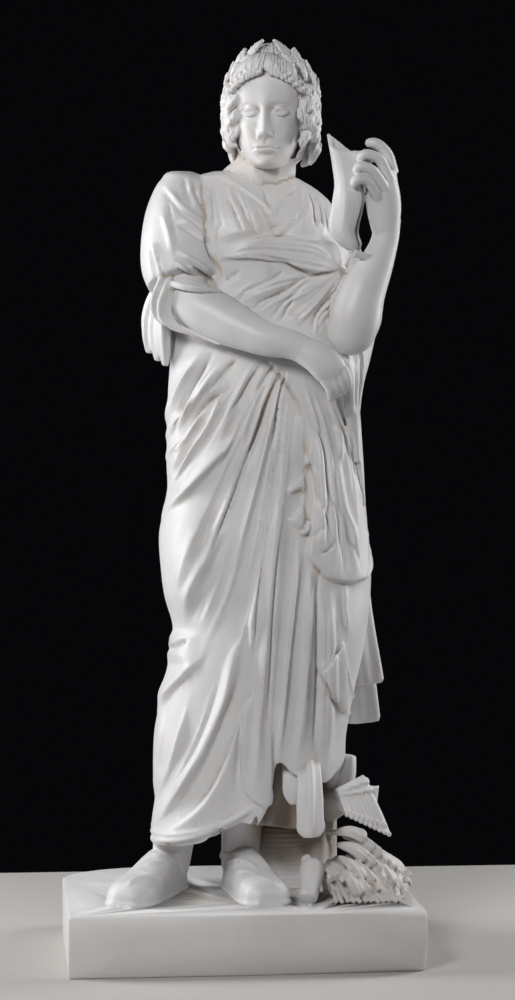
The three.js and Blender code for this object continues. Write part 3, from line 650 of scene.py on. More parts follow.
def make_cascade():
    """The mantle's hanging end at the right side, in three overlapping pleats."""
    pieces = []
    tiers = [(34, 10, 534, 236), (36, 46, 452, 230), (34, 84, 470, 208), (30, 112, 520, 180)]
    for i, (width, deep, foot, start) in enumerate(tiers):
        path = [
            (start, 0.8 * deep, 1240), (start + 6, deep, 900), (0.5 * start + 130, deep, 700),
            (268 - 4 * i, deep, foot),
        ]
        rows = [(0, 3, 4), (0.12, 11, 12), (0.3, 18, 20), (0.7, 0.75 * width, 22), (1, width, 20)]
        pieces.append(strand(f"pleat_{i}", path, rows, 4, 0.16, 0.7 * i, 0.8, finer=2))
    return pieces


SLEEVE_PATH = [(-84, -12, 1575), (-98, -14, 1530), (-112, -32, 1440), (-107, -80, 1346)]
SLEEVE_ROWS = [
    (0, 8, 12), (0.05, 44, 46), (0.14, 62, 62), (0.3, 71, 74), (0.6, 77, 82), (0.85, 78, 84), (1, 66, 76),
]
SLEEVE_CREASES = [
    (5, 6, 6, -107, 1568, -100, 1538, -88, 1513),
    (5, 6, 6, -86, 1568, -80, 1535, -63, 1494, -60, 1467),
    (5, 6, 6, -68, 1568, -66, 1519, -62, 1482),
    (7, 7, 7, -152, 1547, -113, 1498, -82, 1473, -60, 1448, -48, 1423),
    (7, 6, 7, -122, 1473, -91, 1457, -60, 1436),
    (10, 8, 8, -122, 1405, -91, 1386, -60, 1368, -32, 1340),
    (7, 6, 6, -128, 1386, -85, 1368, -53, 1352),
    (6, 6, 6, -160, 1420, -150, 1380, -142, 1362),
    (6, 6, 6, -175, 1440, -168, 1390, -160, 1350),
    (5, 6, 6, -140, 1530, -130, 1480, -120, 1440),
]
SLEEVE_CRESTS = [
    (7, 14, 10, -140, 1548, -100, 1500, -72, 1480, -52, 1452),
    (7, 14, 10, -115, 1486, -80, 1468, -50, 1444),
    (8, 14, 10, -118, 1420, -80, 1395, -48, 1372, -30, 1350),
    (7, 12, 9, -128, 1398, -90, 1378, -50, 1358),
    (6, 10, 10, -96, 1570, -90, 1530, -72, 1500),
    (7, 12, 12, -168, 1440, -158, 1400, -146, 1372),
    (6, 12, 12, -150, 1500, -135, 1450, -128, 1410),
]


def make_sleeve():
    """The sleeve with its gathers, its rolled hem and the folds gripped in the hand."""
    shoulder = limb("sleeve", SLEEVE_PATH, SLEEVE_ROWS, 24, 24, (1, 0, 0), 3)
    tubes = [
        ((-150, -40, 1366), (-170, -26, 1300), (-176, -12, 1212), 15, 20),
        ((-142, -62, 1358), (-160, -48, 1300), (-160, -30, 1196), 13, 17),
        ((-126, -84, 1350), (-148, -70, 1300), (-146, -46, 1186), 12, 16),
        ((-140, 0, 1366), (-160, 6, 1300), (-160, 10, 1216), 22, 22),
        ((-118, 30, 1366), (-132, 36, 1300), (-130, 36, 1226), 22, 22),
    ]
    pieces = [shoulder]
    for i, (a, b, c, wide, deep) in enumerate(tubes):
        rows = [
            (0, 0.6 * wide, 0.6 * deep), (0.3, wide, deep), (0.85, 0.95 * wide, deep),
            (1, 0.5 * wide, 0.5 * deep),
        ]
        pieces.append(strand(f"gather_{i}", (a, b, c), rows, 5, 0.14, i, 1.0, finer=2))
    hem = [
        seen(-132, 1364, -110), seen(-139, 1342, -130), seen(-145, 1314, -128), seen(-142, 1288, -124),
        seen(-124, 1268, -128), seen(-90, 1254, -136), seen(-30, 1230, -154),
    ]
    rows = [(0, 7, 8), (0.2, 8, 13), (0.42, 8, 12), (0.56, 6, 8), (0.75, 4, 5), (1, 3, 4)]
    pieces.append(strand("sleeve_hem", hem, rows, 3, 0.3, 0, 9, (1, 0, 0), finer=2))
    roll = [place + (-13, 6, 4) for place in hem[:5]]
    pieces.append(strand(
        "sleeve_roll", roll, [(0, 6, 9), (0.5, 9, 13), (1, 5, 8)], 4, 0.3, 1, 6, (1, 0, 0), finer=2,
    ))
    for i, (x, reach) in enumerate(((226, 150), (238, 240), (250, 330))):
        fold = [
            seen(x, 1230, -120), seen(x + 2, 1180, -150 + 16 * i), seen(x + 4 - 6 * i, 1120, -156 + 20 * i),
            seen(x + 6, 1230 - reach, -130 + 20 * i),
        ]
        pieces.append(strand(
            f"gripped_{i}", fold, [(0, 8, 10), (0.4, 11, 13), (1, 8, 10)], 3, 0.12, i, 2, (1, 0, 0), finer=2,
        ))
    edge = [seen(-136, 1352, -126), seen(-104, 1346, -154), seen(-66, 1341, -162), seen(-29, 1337, -152)]
    pieces.append(strand(
        "sleeve_edge", edge, [(0, 5, 7), (0.5, 4.5, 7), (1, 3, 4)], 4, 0.28, 0, 9, (0, 0, 1), finer=2,
    ))
    return pieces


# ---- Arms, hands and parchment -----------------------------------------------------------------------


def finger(name, bones, thick, side=(0, 1, 0)):
    """A finger along its joints, a little fuller at the knuckles and the pad."""
    rows = [
        (0, thick, thick), (0.3, 0.93 * thick, 0.95 * thick), (0.5, 0.9 * thick, 0.92 * thick),
        (0.66, 0.9 * thick, 0.9 * thick), (0.86, 0.84 * thick, 0.8 * thick),
        (0.96, 0.62 * thick, 0.6 * thick), (1, 0.3 * thick, 0.3 * thick),
    ]
    return limb(name, bones, rows, 12, 8, side)


def make_arms():
    """The arm across the waist and the raised forearm, with their hands."""
    crossed = limb(
        "crossed_arm",
        [seen(-96, 1390, -50), seen(-93, 1322, -102), seen(-30, 1282, -140), seen(18, 1259, -164),
         seen(62, 1241, -184), seen(115, 1229, -196), seen(150, 1214, -200)],
        [(0, 42, 44), (0.2, 46, 48), (0.38, 50, 48), (0.52, 46, 43), (0.66, 38, 37), (0.82, 31, 28),
         (0.92, 28, 23), (1, 27, 21)],
    )
    pieces = [crossed]
    pieces.append(limb(
        "crossed_hand",
        [seen(136, 1220, -200), seen(168, 1202, -208), seen(192, 1180, -207), seen(208, 1158, -199)],
        [(0, 27, 21), (0.35, 31, 19), (0.7, 33, 17), (1, 26, 12)],
    ))
    for i in range(4):
        root = seen(180 + 13 * i, 1158 + 9 * i, -207)
        bend = seen(192 + 12 * i, 1139 + 8 * i, -205)
        tip = seen(196 + 11 * i, 1116 + 7 * i, -188)
        pieces.append(finger(f"crossed_finger_{i}", (root, bend, tip), 9.5, (1, 0, 0)))
    pieces.append(limb(
        "raised_upper", [(160, -5, 1500), (196, -40, 1400), (226, -100, 1290), (232, -130, 1240)],
        [(0, 26, 30), (0.12, 44, 50), (0.5, 52, 56), (0.9, 50, 52), (1, 34, 36)], side=(1, 0, 0),
    ))
    pieces.append(limb(
        "raised_fore",
        [seen(222, 1216, -150), seen(238, 1263, -166), seen(259, 1336, -172), seen(287, 1394, -170),
         seen(306, 1450, -166), seen(308, 1490, -168)],
        [(0, 20, 22), (0.07, 40, 40), (0.2, 50, 48), (0.45, 45, 44), (0.66, 34, 33), (0.85, 27, 24),
         (1, 29, 22)],
    ))
    pieces.append(limb(
        "palm", [seen(306, 1462, -168), seen(303, 1506, -172), seen(300, 1550, -174), seen(306, 1586, -170)],
        [(0, 27, 22), (0.35, 34, 25), (0.7, 33, 26), (1, 22, 18)],
    ))
    reach = [
        ((292, 1528, -190), (264, 1566, -212), (248, 1566, -216), (240, 1550, -208)),
        ((306, 1545, -190), (272, 1588, -210), (254, 1592, -212), (243, 1576, -206)),
        ((316, 1562, -182), (286, 1612, -198), (262, 1616, -200), (250, 1600, -196)),
        ((322, 1578, -168), (304, 1626, -178), (284, 1640, -180), (264, 1640, -176)),
    ]
    for i, bones in enumerate(reach):
        pieces.append(finger(f"raised_finger_{i}", [seen(*b) for b in bones], 11.5 + 0.5 * (i > 0)))
    pieces.append(finger("thumb", (seen(290, 1490, -150), seen(270, 1540, -140), seen(254, 1590, -146)), 13))
    return pieces


def sheet(name, place, thick):
    """A thin sheet of stone: place(u, v) gives its middle for u and v from 0 to 1."""
    form = bmesh.new()
    bmesh.ops.create_grid(form, x_segments=40, y_segments=40, size=0.5)
    co = np.array([v.co for v in form.verts]) + 0.5
    for vert, spot in zip(form.verts, place(co[:, 0], co[:, 1]) * MM):
        vert.co = spot
    return settle(made(name, form), ("SOLIDIFY", {"thickness": thick * MM, "offset": 0}))


def make_parchment():
    """The limp parchment: a sheet curled into an open pouch, flared above the fingers, with a lip below."""
    spine = np.array([
        seen(236, 1618, -168), seen(232, 1572, -176), seen(231, 1520, -182), seen(221, 1462, -184),
        seen(240, 1424, -182),
    ])
    run = np.linspace(0, 1, len(spine))
    girth = [
        (0, 48, 20), (0.2, 30, 17), (0.3, 26, 17), (0.5, 29, 20), (0.8, 24, 20), (0.93, 19, 15), (1, 10, 8),
    ]

    def pouch(u, v):
        turn = math.pi * (0.22 + 1.86 * u)
        wide, deep = along(girth, v).T
        middle = along(np.c_[run, spine], v)
        tip = np.clip(1 - v / 0.2, 0, 1) * (4 + 36 * np.clip(-np.cos(turn - 0.35), 0, 1) ** 2)
        ripple = 1 + 0.06 * np.cos(5 * turn + 6 * v)
        return middle + np.stack([wide * ripple * np.cos(turn), -deep * ripple * np.sin(turn), tip], -1)

    def lip(u, v):
        middle = along(
            [(0, *seen(240, 1424, -190)), (0.6, *seen(276, 1414, -186)), (1, *seen(294, 1424, -176))], v,
        )
        turn = math.pi * (0.9 + 1.1 * u)
        wide = 12 - 5 * v
        return middle + np.stack([0 * v, -wide * np.cos(turn), wide * np.sin(turn)], -1)

    return [sheet("parchment", pouch, 5.5), sheet("parchment_lip", lip, 6)]


# ---- Head --------------------------------------------------------------------------------------------

HEAD = (60.0, -66.0, 1580.0)
HEAD_TALL = 236.0
HEAD_TURN = -0.2
HEAD_NOD = 0.07
NOD_LEVEL = 90.0
SKULL_SQUARE = 2.25
# Share of height, half width, front reach, back reach.
SKULL = [
    (0, 14, 40, 0), (0.02, 27, 58, 6), (0.06, 39, 67, 20), (0.12, 49, 71, 38), (0.2, 57, 74, 58),
    (0.3, 63, 76, 74), (0.42, 68, 77, 88), (0.52, 71, 78, 97), (0.64, 74, 79, 102), (0.78, 71, 73, 101),
    (0.89, 57, 54, 84), (0.96, 36, 32, 56), (1, 10, 8, 18),
]


def turned(a, b, angle):
    """Two axes of some places turned by an angle, from the first towards the second."""
    c, s = math.cos(angle), math.sin(angle)
    return a * c - b * s, a * s + b * c


def on_head(places):
    """Head-local places (x across, y towards the back, z up from the chin) turned and set on the neck."""
    y, lift = turned(places[..., 1], places[..., 2] - NOD_LEVEL, HEAD_NOD)
    x, y = turned(places[..., 0], y, HEAD_TURN)
    return np.stack([x + HEAD[0], y + HEAD[1], lift + NOD_LEVEL + HEAD[2]], -1)


def from_head(places):
    """Places on the statue brought back to head-local ones."""
    x, y = turned(places[:, 0] - HEAD[0], places[:, 1] - HEAD[1], -HEAD_TURN)
    y, lift = turned(y, places[:, 2] - HEAD[2] - NOD_LEVEL, -HEAD_NOD)
    return np.stack([x, y, lift + NOD_LEVEL], -1)


def local_normals(piece):
    """Which way the piece faces, seen from the head's own front."""
    normals = normals_of(piece)
    return np.stack([*turned(normals[:, 0], normals[:, 1], -HEAD_TURN), normals[:, 2]], -1)


# The nose by height: how far it stands out, and its half width.
NOSE_RISE = [
    (54, 0), (59, 3), (65, 12), (71, 16), (77, 15.8), (86, 13.5), (98, 11), (110, 8.8), (120, 7), (132, 4.5),
    (142, 2), (152, 0),
]
NOSE_HALF = [(54, 10), (66, 11.5), (76, 10.5), (92, 9.8), (112, 10), (124, 12), (134, 15), (148, 20)]


def face_height(x, z):
    """How far a calm, plain face stands out of the skull's front, by place across and height."""
    a = np.abs(x)
    flat = np.stack([a, z], -1)

    def mound(rise, across, up, wide, tall):
        return rise * np.exp(-(((a - across) / wide) ** 2) - ((z - up) / tall) ** 2)

    out = mound(3, 26, 130, 20, 9) - mound(8.5, 30, 114, 18, 13) - mound(4, 15, 115, 6, 9)
    eye = np.sqrt(np.clip(14**2 - (a - 31) ** 2 - (z - 112) ** 2, 0, None))
    out += 0.75 * np.maximum(eye - 4, 0)
    out += relief(flat, [(4, 6, 2.2, 14, 109, 22, 115, 31, 117, 40, 114.5, 49, 108)], "tube", 0.1)
    out -= relief(flat, [(2.4, 3, 3, 16, 119, 23, 125, 32, 127, 42, 124, 49, 117)], "crease", 0.2)
    out += relief(flat, [(2.6, 2.2, 3.6, 16, 109, 23, 105, 31, 103.4, 39, 105, 47, 109.5)], "tube", 0.15)
    bridge = along(NOSE_RISE, z)[..., 0]
    half = along(NOSE_HALF, z)[..., 0]
    out += bridge * np.exp(-((a / half) ** 2))
    out += mound(6, 11.5, 66.5, 5, 6) - mound(2, 19.5, 66, 3, 7) - mound(4.5, 7.3, 59.5, 3.2, 2.6)
    out += mound(3, 0, 43, 26, 15)
    upper_lip = relief(flat, [(4.4, 5.8, 4.2, 0, 44.6, 5, 46.4, 13, 44.2, 20, 41.6, 26, 39.6)], "tube", 0)
    lower_lip = relief(flat, [(5.6, 5, 6.4, 0, 34.4, 9, 35, 17, 37.2, 23, 39)], "tube", 0)
    out += upper_lip * (1 - smooth(19, 27, a))
    out += lower_lip * (1 - smooth(14, 24, a))
    out -= relief(flat, [(5, 2.6, 2.6, 0, 39.8, 6, 40.6, 15, 39.8, 26, 38.8)], "crease", 0)
    out -= mound(2.2, 27.5, 39, 4.5, 5) + mound(2.4, 0, 52, 3.2, 5) + mound(4.5, 0, 24.5, 17, 5.5)
    out += mound(7, 0, 12, 17, 10) + mound(4.5, 38, 84, 20, 20) + mound(1.5, 42, 50, 14, 20)
    return out


def face_lines(x, z):
    """The lids, the lips' parting and the wings of the nose, cut sharper once the head is one skin."""
    flat = np.stack([np.abs(x), z], -1)
    out = 1.6 * relief(flat, [(1, 2.6, 1.6, 15, 109, 22, 115.4, 31, 117.6, 40, 115, 49, 108)], "tube", 0.1)
    out -= 1.8 * relief(flat, [(1, 2, 2, 16, 113, 23, 119.8, 31, 122, 40, 119.6, 50, 112)], "crease", 0.1)
    out += 1.2 * relief(flat, [(1, 1.4, 2.2, 16, 108.6, 23, 104.6, 31, 103, 39, 104.6, 47, 109)], "tube", 0.1)
    out -= 1.2 * relief(
        flat, [(1, 1.6, 1.6, 17, 106, 23, 101.6, 31, 99.6, 39, 101.6, 46, 105)], "crease", 0.1,
    )
    out -= 2.2 * relief(
        flat, [(1, 1.9, 1.9, 18, 107, 24, 111.4, 31, 113.4, 39, 111.4, 46, 106.6)], "crease", 0.1,
    )
    out -= 2.6 * relief(flat, [(1, 2.2, 2.2, 0, 40, 6, 40.9, 15, 40, 25, 38.6)], "crease", 0)
    out -= 1.6 * relief(flat, [(1, 2, 2, 17, 72, 20.5, 67, 19, 61)], "crease", 0.1)
    out -= 1.2 * relief(flat, [(1, 2.4, 2.4, 0, 49.5, 0, 56)], "crease", 0.1)
    return out


def make_skull():
    """The bare head with its face."""

    def shape(angle, t, r):
        up = 1 - t
        wide, front, back = along(SKULL, up).T
        across, depth = np.sin(angle), np.cos(angle)
        round_ = squared(across, depth, SKULL_SQUARE)
        x = wide * across * r / round_
        reach = np.where(depth > 0, front, back) * depth * r / round_
        return on_head(np.stack([x, -reach, HEAD_TALL * up], -1))

    head = skin("head", 40, 40, shape, 3)
    places = places_of(head)
    local = from_head(places)
    ahead = smooth(0.0, 0.55, -local_normals(head)[:, 1])
    local[:, 1] -= face_height(local[:, 0], local[:, 2]) * ahead
    put(head, on_head(local))
    return head


def lock(name, points, wide, deep, grooves=5, phase=0.0, twist=1.5, tip=0.15):
    """A lock of hair through head-local points, full in the middle and drawn out to a tip."""
    middle = np.mean(np.asarray(points, float), axis=0) - np.array((5, 10, 100))
    out = middle / (np.linalg.norm(middle) + 1e-9)
    rows = [
        (0, 0.55 * wide, 0.6 * deep), (0.25, 0.95 * wide, deep), (0.55, wide, deep),
        (0.8, 0.7 * wide, 0.75 * deep), (1, tip * wide, tip * deep),
    ]
    return strand(name, on_head(np.asarray(points, float)), rows, grooves, 0.17, phase, twist, out)


def on_hair(turn, level, out=0.0):
    """A place on the hair: turn from the front towards +x, level from the chin, and how far out it stands."""
    dome = math.sqrt(max(0.02, 1 - max(0, level - 118) ** 2 / 128**2))
    behind = max(0.0, -math.cos(turn))
    pull = 1 - 0.28 * behind * min(1, max(0, (110 - level) / 90))
    wide, deep = 81 * dome * pull + out, (88 + 14 * behind) * dome * pull + out
    return (4 + wide * math.sin(turn), 10 - deep * math.cos(turn), level)


def hair_lines(flat, places, normals, facing):
    """Fine strands, cut into the hair once the head is one skin."""
    local = from_head(places)
    turn, level = np.arctan2(local[:, 0] - 4, 10 - local[:, 1]), local[:, 2]
    hairline = 188 - 0.009 * local[:, 0] ** 2
    face = smooth(30, 42, -local[:, 1]) * (1 - smooth(58, 66, np.abs(local[:, 0])))
    face = face * (1 - smooth(-6, 0, level - hairline))
    radius = np.hypot(local[:, 0] - 4, local[:, 1] - 10)
    lines = face_lines(local[:, 0], level) * smooth(38, 52, -local[:, 1]) * (1 - smooth(158, 170, level))
    wide = 1.1 * np.cos(86 * turn + 2.6 * np.sin(level / 13))
    fine = 0.8 * np.cos(131 * turn - 2.4 * np.sin(level / 9 + 1.3))
    return (wide + fine) * (1 - face) * smooth(22, 60, radius) * smooth(30, 48, level) + lines


def make_cap():
    """The hair's smooth crown, combed down from the top, cut back around the face."""

    def cap_shape(angle, t, r):
        up = 1 - t
        dome = np.sqrt(np.clip(1 - ((up - 0.42) / 0.58) ** 2, 0, None))
        dome = np.maximum(dome, 0.55 * (up < 0.42))
        across, depth = np.sin(angle), np.cos(angle)
        x = 4 + 82 * dome * across * r
        y = 12 - np.where(depth > 0, 86, 96) * dome * depth * r
        return on_head(np.stack([x, y, 20 + 230 * up], -1))

    cap = skin("hair_cap", 36, 30, cap_shape, 3)
    local = from_head(places_of(cap))
    turn = np.arctan2(local[:, 0] - 4, -(local[:, 1] - 20))
    up = np.clip((local[:, 2] - 120) / 130, 0, 1)
    wave = 1.7 * np.cos(48 * turn + 5 * up) + 1.3 * np.cos(31 * turn - 6 * up + 1)
    normals = normals_of(cap)
    put(cap, places_of(cap) + normals * (wave * smooth(0.15, 0.5, 1 - np.abs(normals[:, 2]) * 0.6))[:, None])
    local = from_head(places_of(cap))
    before = (local[:, 1] < -18) & (np.abs(local[:, 0]) < 66)
    edge = 194 - 0.009 * local[:, 0] ** 2
    local[:, 1] += 70 * before * smooth(0, 8, edge - local[:, 2])
    put(cap, on_head(local))
    return cap


def make_hair():
    """The crown, the fringe, the side curls and the nape, with the ears among them."""
    pieces = [make_cap()]
    rng = np.random.default_rng(11)
    for side in (-1, 1):
        for i in range(11):
            k = (i + 0.3) / 11
            short = 3 + 8 * (i % 2)
            root = (1 + side * (3 + 38 * k), -50 + 18 * k, 226 - 8 * k)
            crest = (1 + side * (4 + 52 * k), -77 + 26 * k * k, 210 - 12 * k - 8 * k * k)
            low = (1 + side * (5 + 60 * k), -82 + 26 * k * k, 194 - 14 * k - 20 * k * k + short)
            tip = (1 + side * (13 + 60 * k), -83 + 28 * k * k, 182 - 14 * k - 22 * k * k + short)
            curl = (1 + side * (22 + 57 * k), -82 + 28 * k * k, 188 - 14 * k - 22 * k * k + short)
            pieces.append(lock(
                f"fringe_{side}_{i}", (root, crest, low, tip, curl), 7, 6.5, 3, 0.9 * i, 1.0 * side, 0.5,
            ))
        for i in range(24):
            turn = (1.02, 1.2, 1.42, 1.64)[i % 4] + rng.uniform(-0.04, 0.04)
            level = 150 - 19 * (i // 4) - 5 * (i % 3) + rng.uniform(-4, 4)
            flip = rng.choice((-1, 1))
            inward = -7 * (level < 75)
            bends = ((0.16, 24, 0), (0.2, 8, 8), (-0.06, -6, 11), (-0.12, -17, 8), (0.06, -22, 4))
            points = [
                on_hair(side * (turn + 0.75 * sway * flip), level + rise, inward + out)
                for sway, rise, out in bends
            ]
            if level > 64:
                pieces.append(lock(f"curl_{side}_{i}", points, rng.uniform(8, 12), 8, 4, i, 2.0 * flip, 0.25))
        pieces.append(ear(side))
    for row, (level, count) in enumerate(((150, 12), (120, 12), (90, 11), (60, 10), (36, 8))):
        for i in range(count):
            turn = math.pi / 2 + math.pi * (i + 0.25 + 0.5 * (row % 2)) / count
            sway = 0.12 * math.sin(3 * i + row)
            points = (on_hair(turn, level + 30), on_hair(turn + sway, level + 4, 8),
                      on_hair(turn - sway, level - 16, 6), on_hair(turn + 0.1, level - 28))
            pieces.append(lock(f"nape_{row}_{i}", points, 15, 10, 5, i, 2.0, 0.35))
    return pieces


def ear(side):
    """A plain ear, mostly under the hair."""
    rim = [
        (side * 72, -16, 100), (side * 80, -8, 94), (side * 84, 4, 108), (side * 84, 4, 122),
        (side * 79, -10, 126), (side * 74, -16, 116),
    ]
    return strand(f"ear_{side}", on_head(np.array(rim, float)), [(0, 5, 5), (0.5, 5, 6), (1, 4, 4)], 3, 0.05)


def leaf(name, root, tip, out, wide):
    """A laurel leaf with a midrib, cupped a little, through head-local root and tip."""
    root, tip, out = (np.asarray(v, float) for v in (root, tip, out))
    axis = tip - root
    long_ = np.linalg.norm(axis)
    axis /= long_
    across = np.cross(axis, out)
    across /= np.linalg.norm(across)
    out = np.cross(across, axis)
    form = bmesh.new()
    bmesh.ops.create_uvsphere(form, u_segments=24, v_segments=20, radius=1)
    co = np.array([v.co for v in form.verts])
    u, v, w = co[:, 0], co[:, 2], co[:, 1]
    t = (v + 1) / 2
    blade = wide / 2 * (np.clip(np.sin(math.pi * np.clip(t, 0, 1) ** 0.85), 0, 1) ** 0.8 + 0.06)
    blade *= 1 + 0.06 * np.cos(34 * t)
    girth = np.sqrt(np.clip(1 - v * v, 1e-9, 1))
    s = u / girth
    thick = 3.2 * (w / girth) * np.sqrt(np.clip(1 - s * s, 0.02, 1)) * np.minimum(1, 6 * girth)
    bow = 5 * np.sin(math.pi * t) + 2.5 * t
    rib = 1.8 * np.exp(-((s / 0.16) ** 2)) + 3.4 * s * s
    places = root + axis * (long_ * t)[:, None] + across * (s * blade * (girth > 1e-4))[:, None]
    places = places + out * (thick + bow + rib * (w > -0.2))[:, None]
    for vert, place in zip(form.verts, on_head(places) * MM):
        vert.co = place
    return made(name, form)


# Laurel leaves of one side: turn from the front, level, lean towards the front, length.
LEAVES = [
    (0.80, 204, 0.35, 62), (0.98, 196, -0.2, 46), (0.98, 190, 0.8, 46), (1.12, 184, 0.1, 48),
    (1.26, 172, 0.75, 48), (1.42, 166, 0.1, 48), (1.56, 152, 0.6, 46), (1.66, 146, -0.15, 44),
    (1.86, 140, 0.55, 46),
    (2.00, 134, -0.1, 44), (2.22, 132, 0.5, 46), (2.38, 126, -0.1, 44), (2.62, 126, 0.5, 46),
    (2.80, 120, 0, 44),
    (3.05, 122, 0.4, 44),
]


def make_wreath():
    """The laurel wreath, leaf by leaf around the head."""
    pieces = []
    for side in (-1, 1):
        for i, (turn, level, lean, long_) in enumerate(LEAVES):
            root = np.array(on_hair(side * turn, level, 3))
            rise = max(0, level - 118) / 128
            out = np.array((side * math.sin(turn), -math.cos(turn), rise / math.sqrt(1 - min(0.8, rise**2))))
            out /= np.linalg.norm(out)
            up = np.array((0, 0, 1)) - out * out[2]
            up /= np.linalg.norm(up)
            ahead = np.cross(up, out) * side
            ahead = ahead if ahead[1] < 0 or turn > 2.9 else -ahead
            run = up * math.cos(lean) + ahead * math.sin(lean)
            pieces.append(leaf(f"leaf_{side}_{i}", root, root + run * long_ + out * 9, out, 23))
    return pieces


NECK_CORDS = [(3, 16, 12, 96, 1640, 84, 1570, 76, 1512), (2.5, 14, 14, 26, 1620, 50, 1550, 68, 1510)]


def make_neck():
    """The neck with its two cords and the pit between them."""
    neck = limb(
        "neck", [(44, -12, 1488), (44, -16, 1540), (58, -28, 1590), (62, -44, 1645)],
        [(0, 84, 98), (0.3, 78, 94), (0.42, 70, 80), (0.56, 62, 66), (0.75, 56, 59), (1, 56, 58)],
        12, 12, (1, 0, 0), 3,
    )

    def height(flat, places, normals, facing):
        cords = relief(flat, NECK_CORDS, "swell")
        pit = 5 * np.exp(-(((flat[:, 0] - 75) / 9) ** 2) - ((flat[:, 1] - 1508) / 9) ** 2)
        return cords * smooth(-0.2, 0.2, facing) - pit

    return carve(neck, height)


# ---- Feet, attributes and plinth ---------------------------------------------------------------------


def shoe(name, heel, toe, ankle, knee):
    """A soft closed shoe on its sole, with the ankle in it."""
    heel, toe = np.asarray(heel, float), np.asarray(toe, float)
    axis = toe - heel
    side = np.array((-axis[1], axis[0], 0)) / np.linalg.norm(axis)
    top = [
        (0, 50, 26), (0.1, 74, 34), (0.25, 86, 39), (0.4, 80, 43), (0.55, 66, 47), (0.7, 54, 50),
        (0.84, 47, 50), (0.94, 38, 42), (1, 20, 24),
    ]

    def shape(angle, t, r):
        tall, wide = along(top, t).T
        sine = np.sin(angle)
        base = heel + axis * t[:, None]
        across = r * wide * np.sign(np.cos(angle)) * np.abs(np.cos(angle)) ** 0.8
        rise = np.where(sine > 0, tall * np.abs(sine) ** 0.75, 6 * sine)
        places = base + side * across[:, None]
        places[:, 2] = PLINTH_TOP + 6 + r * rise
        return places

    def sole_shape(angle, t, r):
        wide = along(top, t).T[1] + 3
        base = heel + axis * (-0.01 + 1.02 * t)[:, None]
        sine = np.sin(angle)
        places = base + side * (r * wide * np.sign(np.cos(angle)) * np.abs(np.cos(angle)) ** 0.6)[:, None]
        places[:, 2] = PLINTH_TOP + 4 + r * 7 * np.sign(sine) * np.abs(sine) ** 0.6
        return places

    upper = skin(name, 16, 16, shape, 2)
    sole = skin(name + "_sole", 16, 16, sole_shape, 2)
    leg = limb(name + "_leg", [knee, ankle], [(0, 46, 46), (0.75, 40, 42), (1, 36, 38)])
    mouth = np.asarray(ankle, float) + np.array((0, 0, 28))
    turns = np.linspace(0, 2 * math.pi, 14)
    ring = [mouth + 36 * np.array((math.cos(k), math.sin(k), 0.1 * math.sin(k))) for k in turns]
    collar = strand(name + "_collar", ring, [(0, 4, 5), (1, 4, 5)], 3, 0.1, 0, 3, (0, 0, 1), 2)
    return [upper, sole, leg, collar]


def make_feet():
    """Both shod feet."""
    left = shoe("left_shoe", (-120, 42, 0), (-240, -200, 0), (-134, 0, 160), (-120, -40, 330))
    right = shoe("right_shoe", (0, 30, 0), (50, -214, 0), (6, 0, 160), (20, -20, 420))
    tongue = lump("tongue", (14, -60, 190), (18, 14, 22), (0.3, 0, 0.2))
    return left + right + [tongue]


HIVE = (96, 60)


def make_hive():
    """A straw hive behind the foot: coils of straw rope one on another."""
    pieces = []
    coils, rise, girth, straw = 13, 9.5, 80, 5.4
    for i in range(coils):
        level = PLINTH_TOP + 4 + rise * i
        wide = girth * math.sqrt(1 - 0.6 * (i / coils) ** 2)
        ring = bmesh.new()
        upright = Matrix.Translation((wide * MM, 0, 0)) @ Matrix.Rotation(math.pi / 2, 4, "X")
        bmesh.ops.create_circle(ring, segments=8, radius=straw * MM, matrix=upright)
        bmesh.ops.spin(
            ring, geom=ring.verts[:] + ring.edges[:], cent=(0, 0, 0), axis=(0, 0, 1), angle=2 * math.pi,
            steps=48, use_merge=True,
        )
        bmesh.ops.translate(ring, verts=ring.verts, vec=Vector((*HIVE, level)) * MM)
        pieces.append(made(f"coil_{i}", ring))
    core = limb(
        "hive_core", [(*HIVE, 116), (*HIVE, 180), (*HIVE, 246)], [(0, 68, 68), (0.5, 60, 60), (1, 38, 38)],
    )
    return pieces + [core]


def make_stump():
    """The stump behind the attributes, with a broken post."""
    stump = strand(
        "stump", [(158, 60, 112), (166, 56, 260), (182, 40, 400)], [(0, 54, 64), (0.5, 46, 56), (1, 30, 46)],
        7, 0.08, 0, 1.0, finer=2,
    )
    post = limb(
        "post", [(212, -6, 300), (226, -8, 352), (232, -8, 392)], [(0, 22, 24), (0.7, 18, 22), (1, 14, 18)],
    )
    return [stump, post]


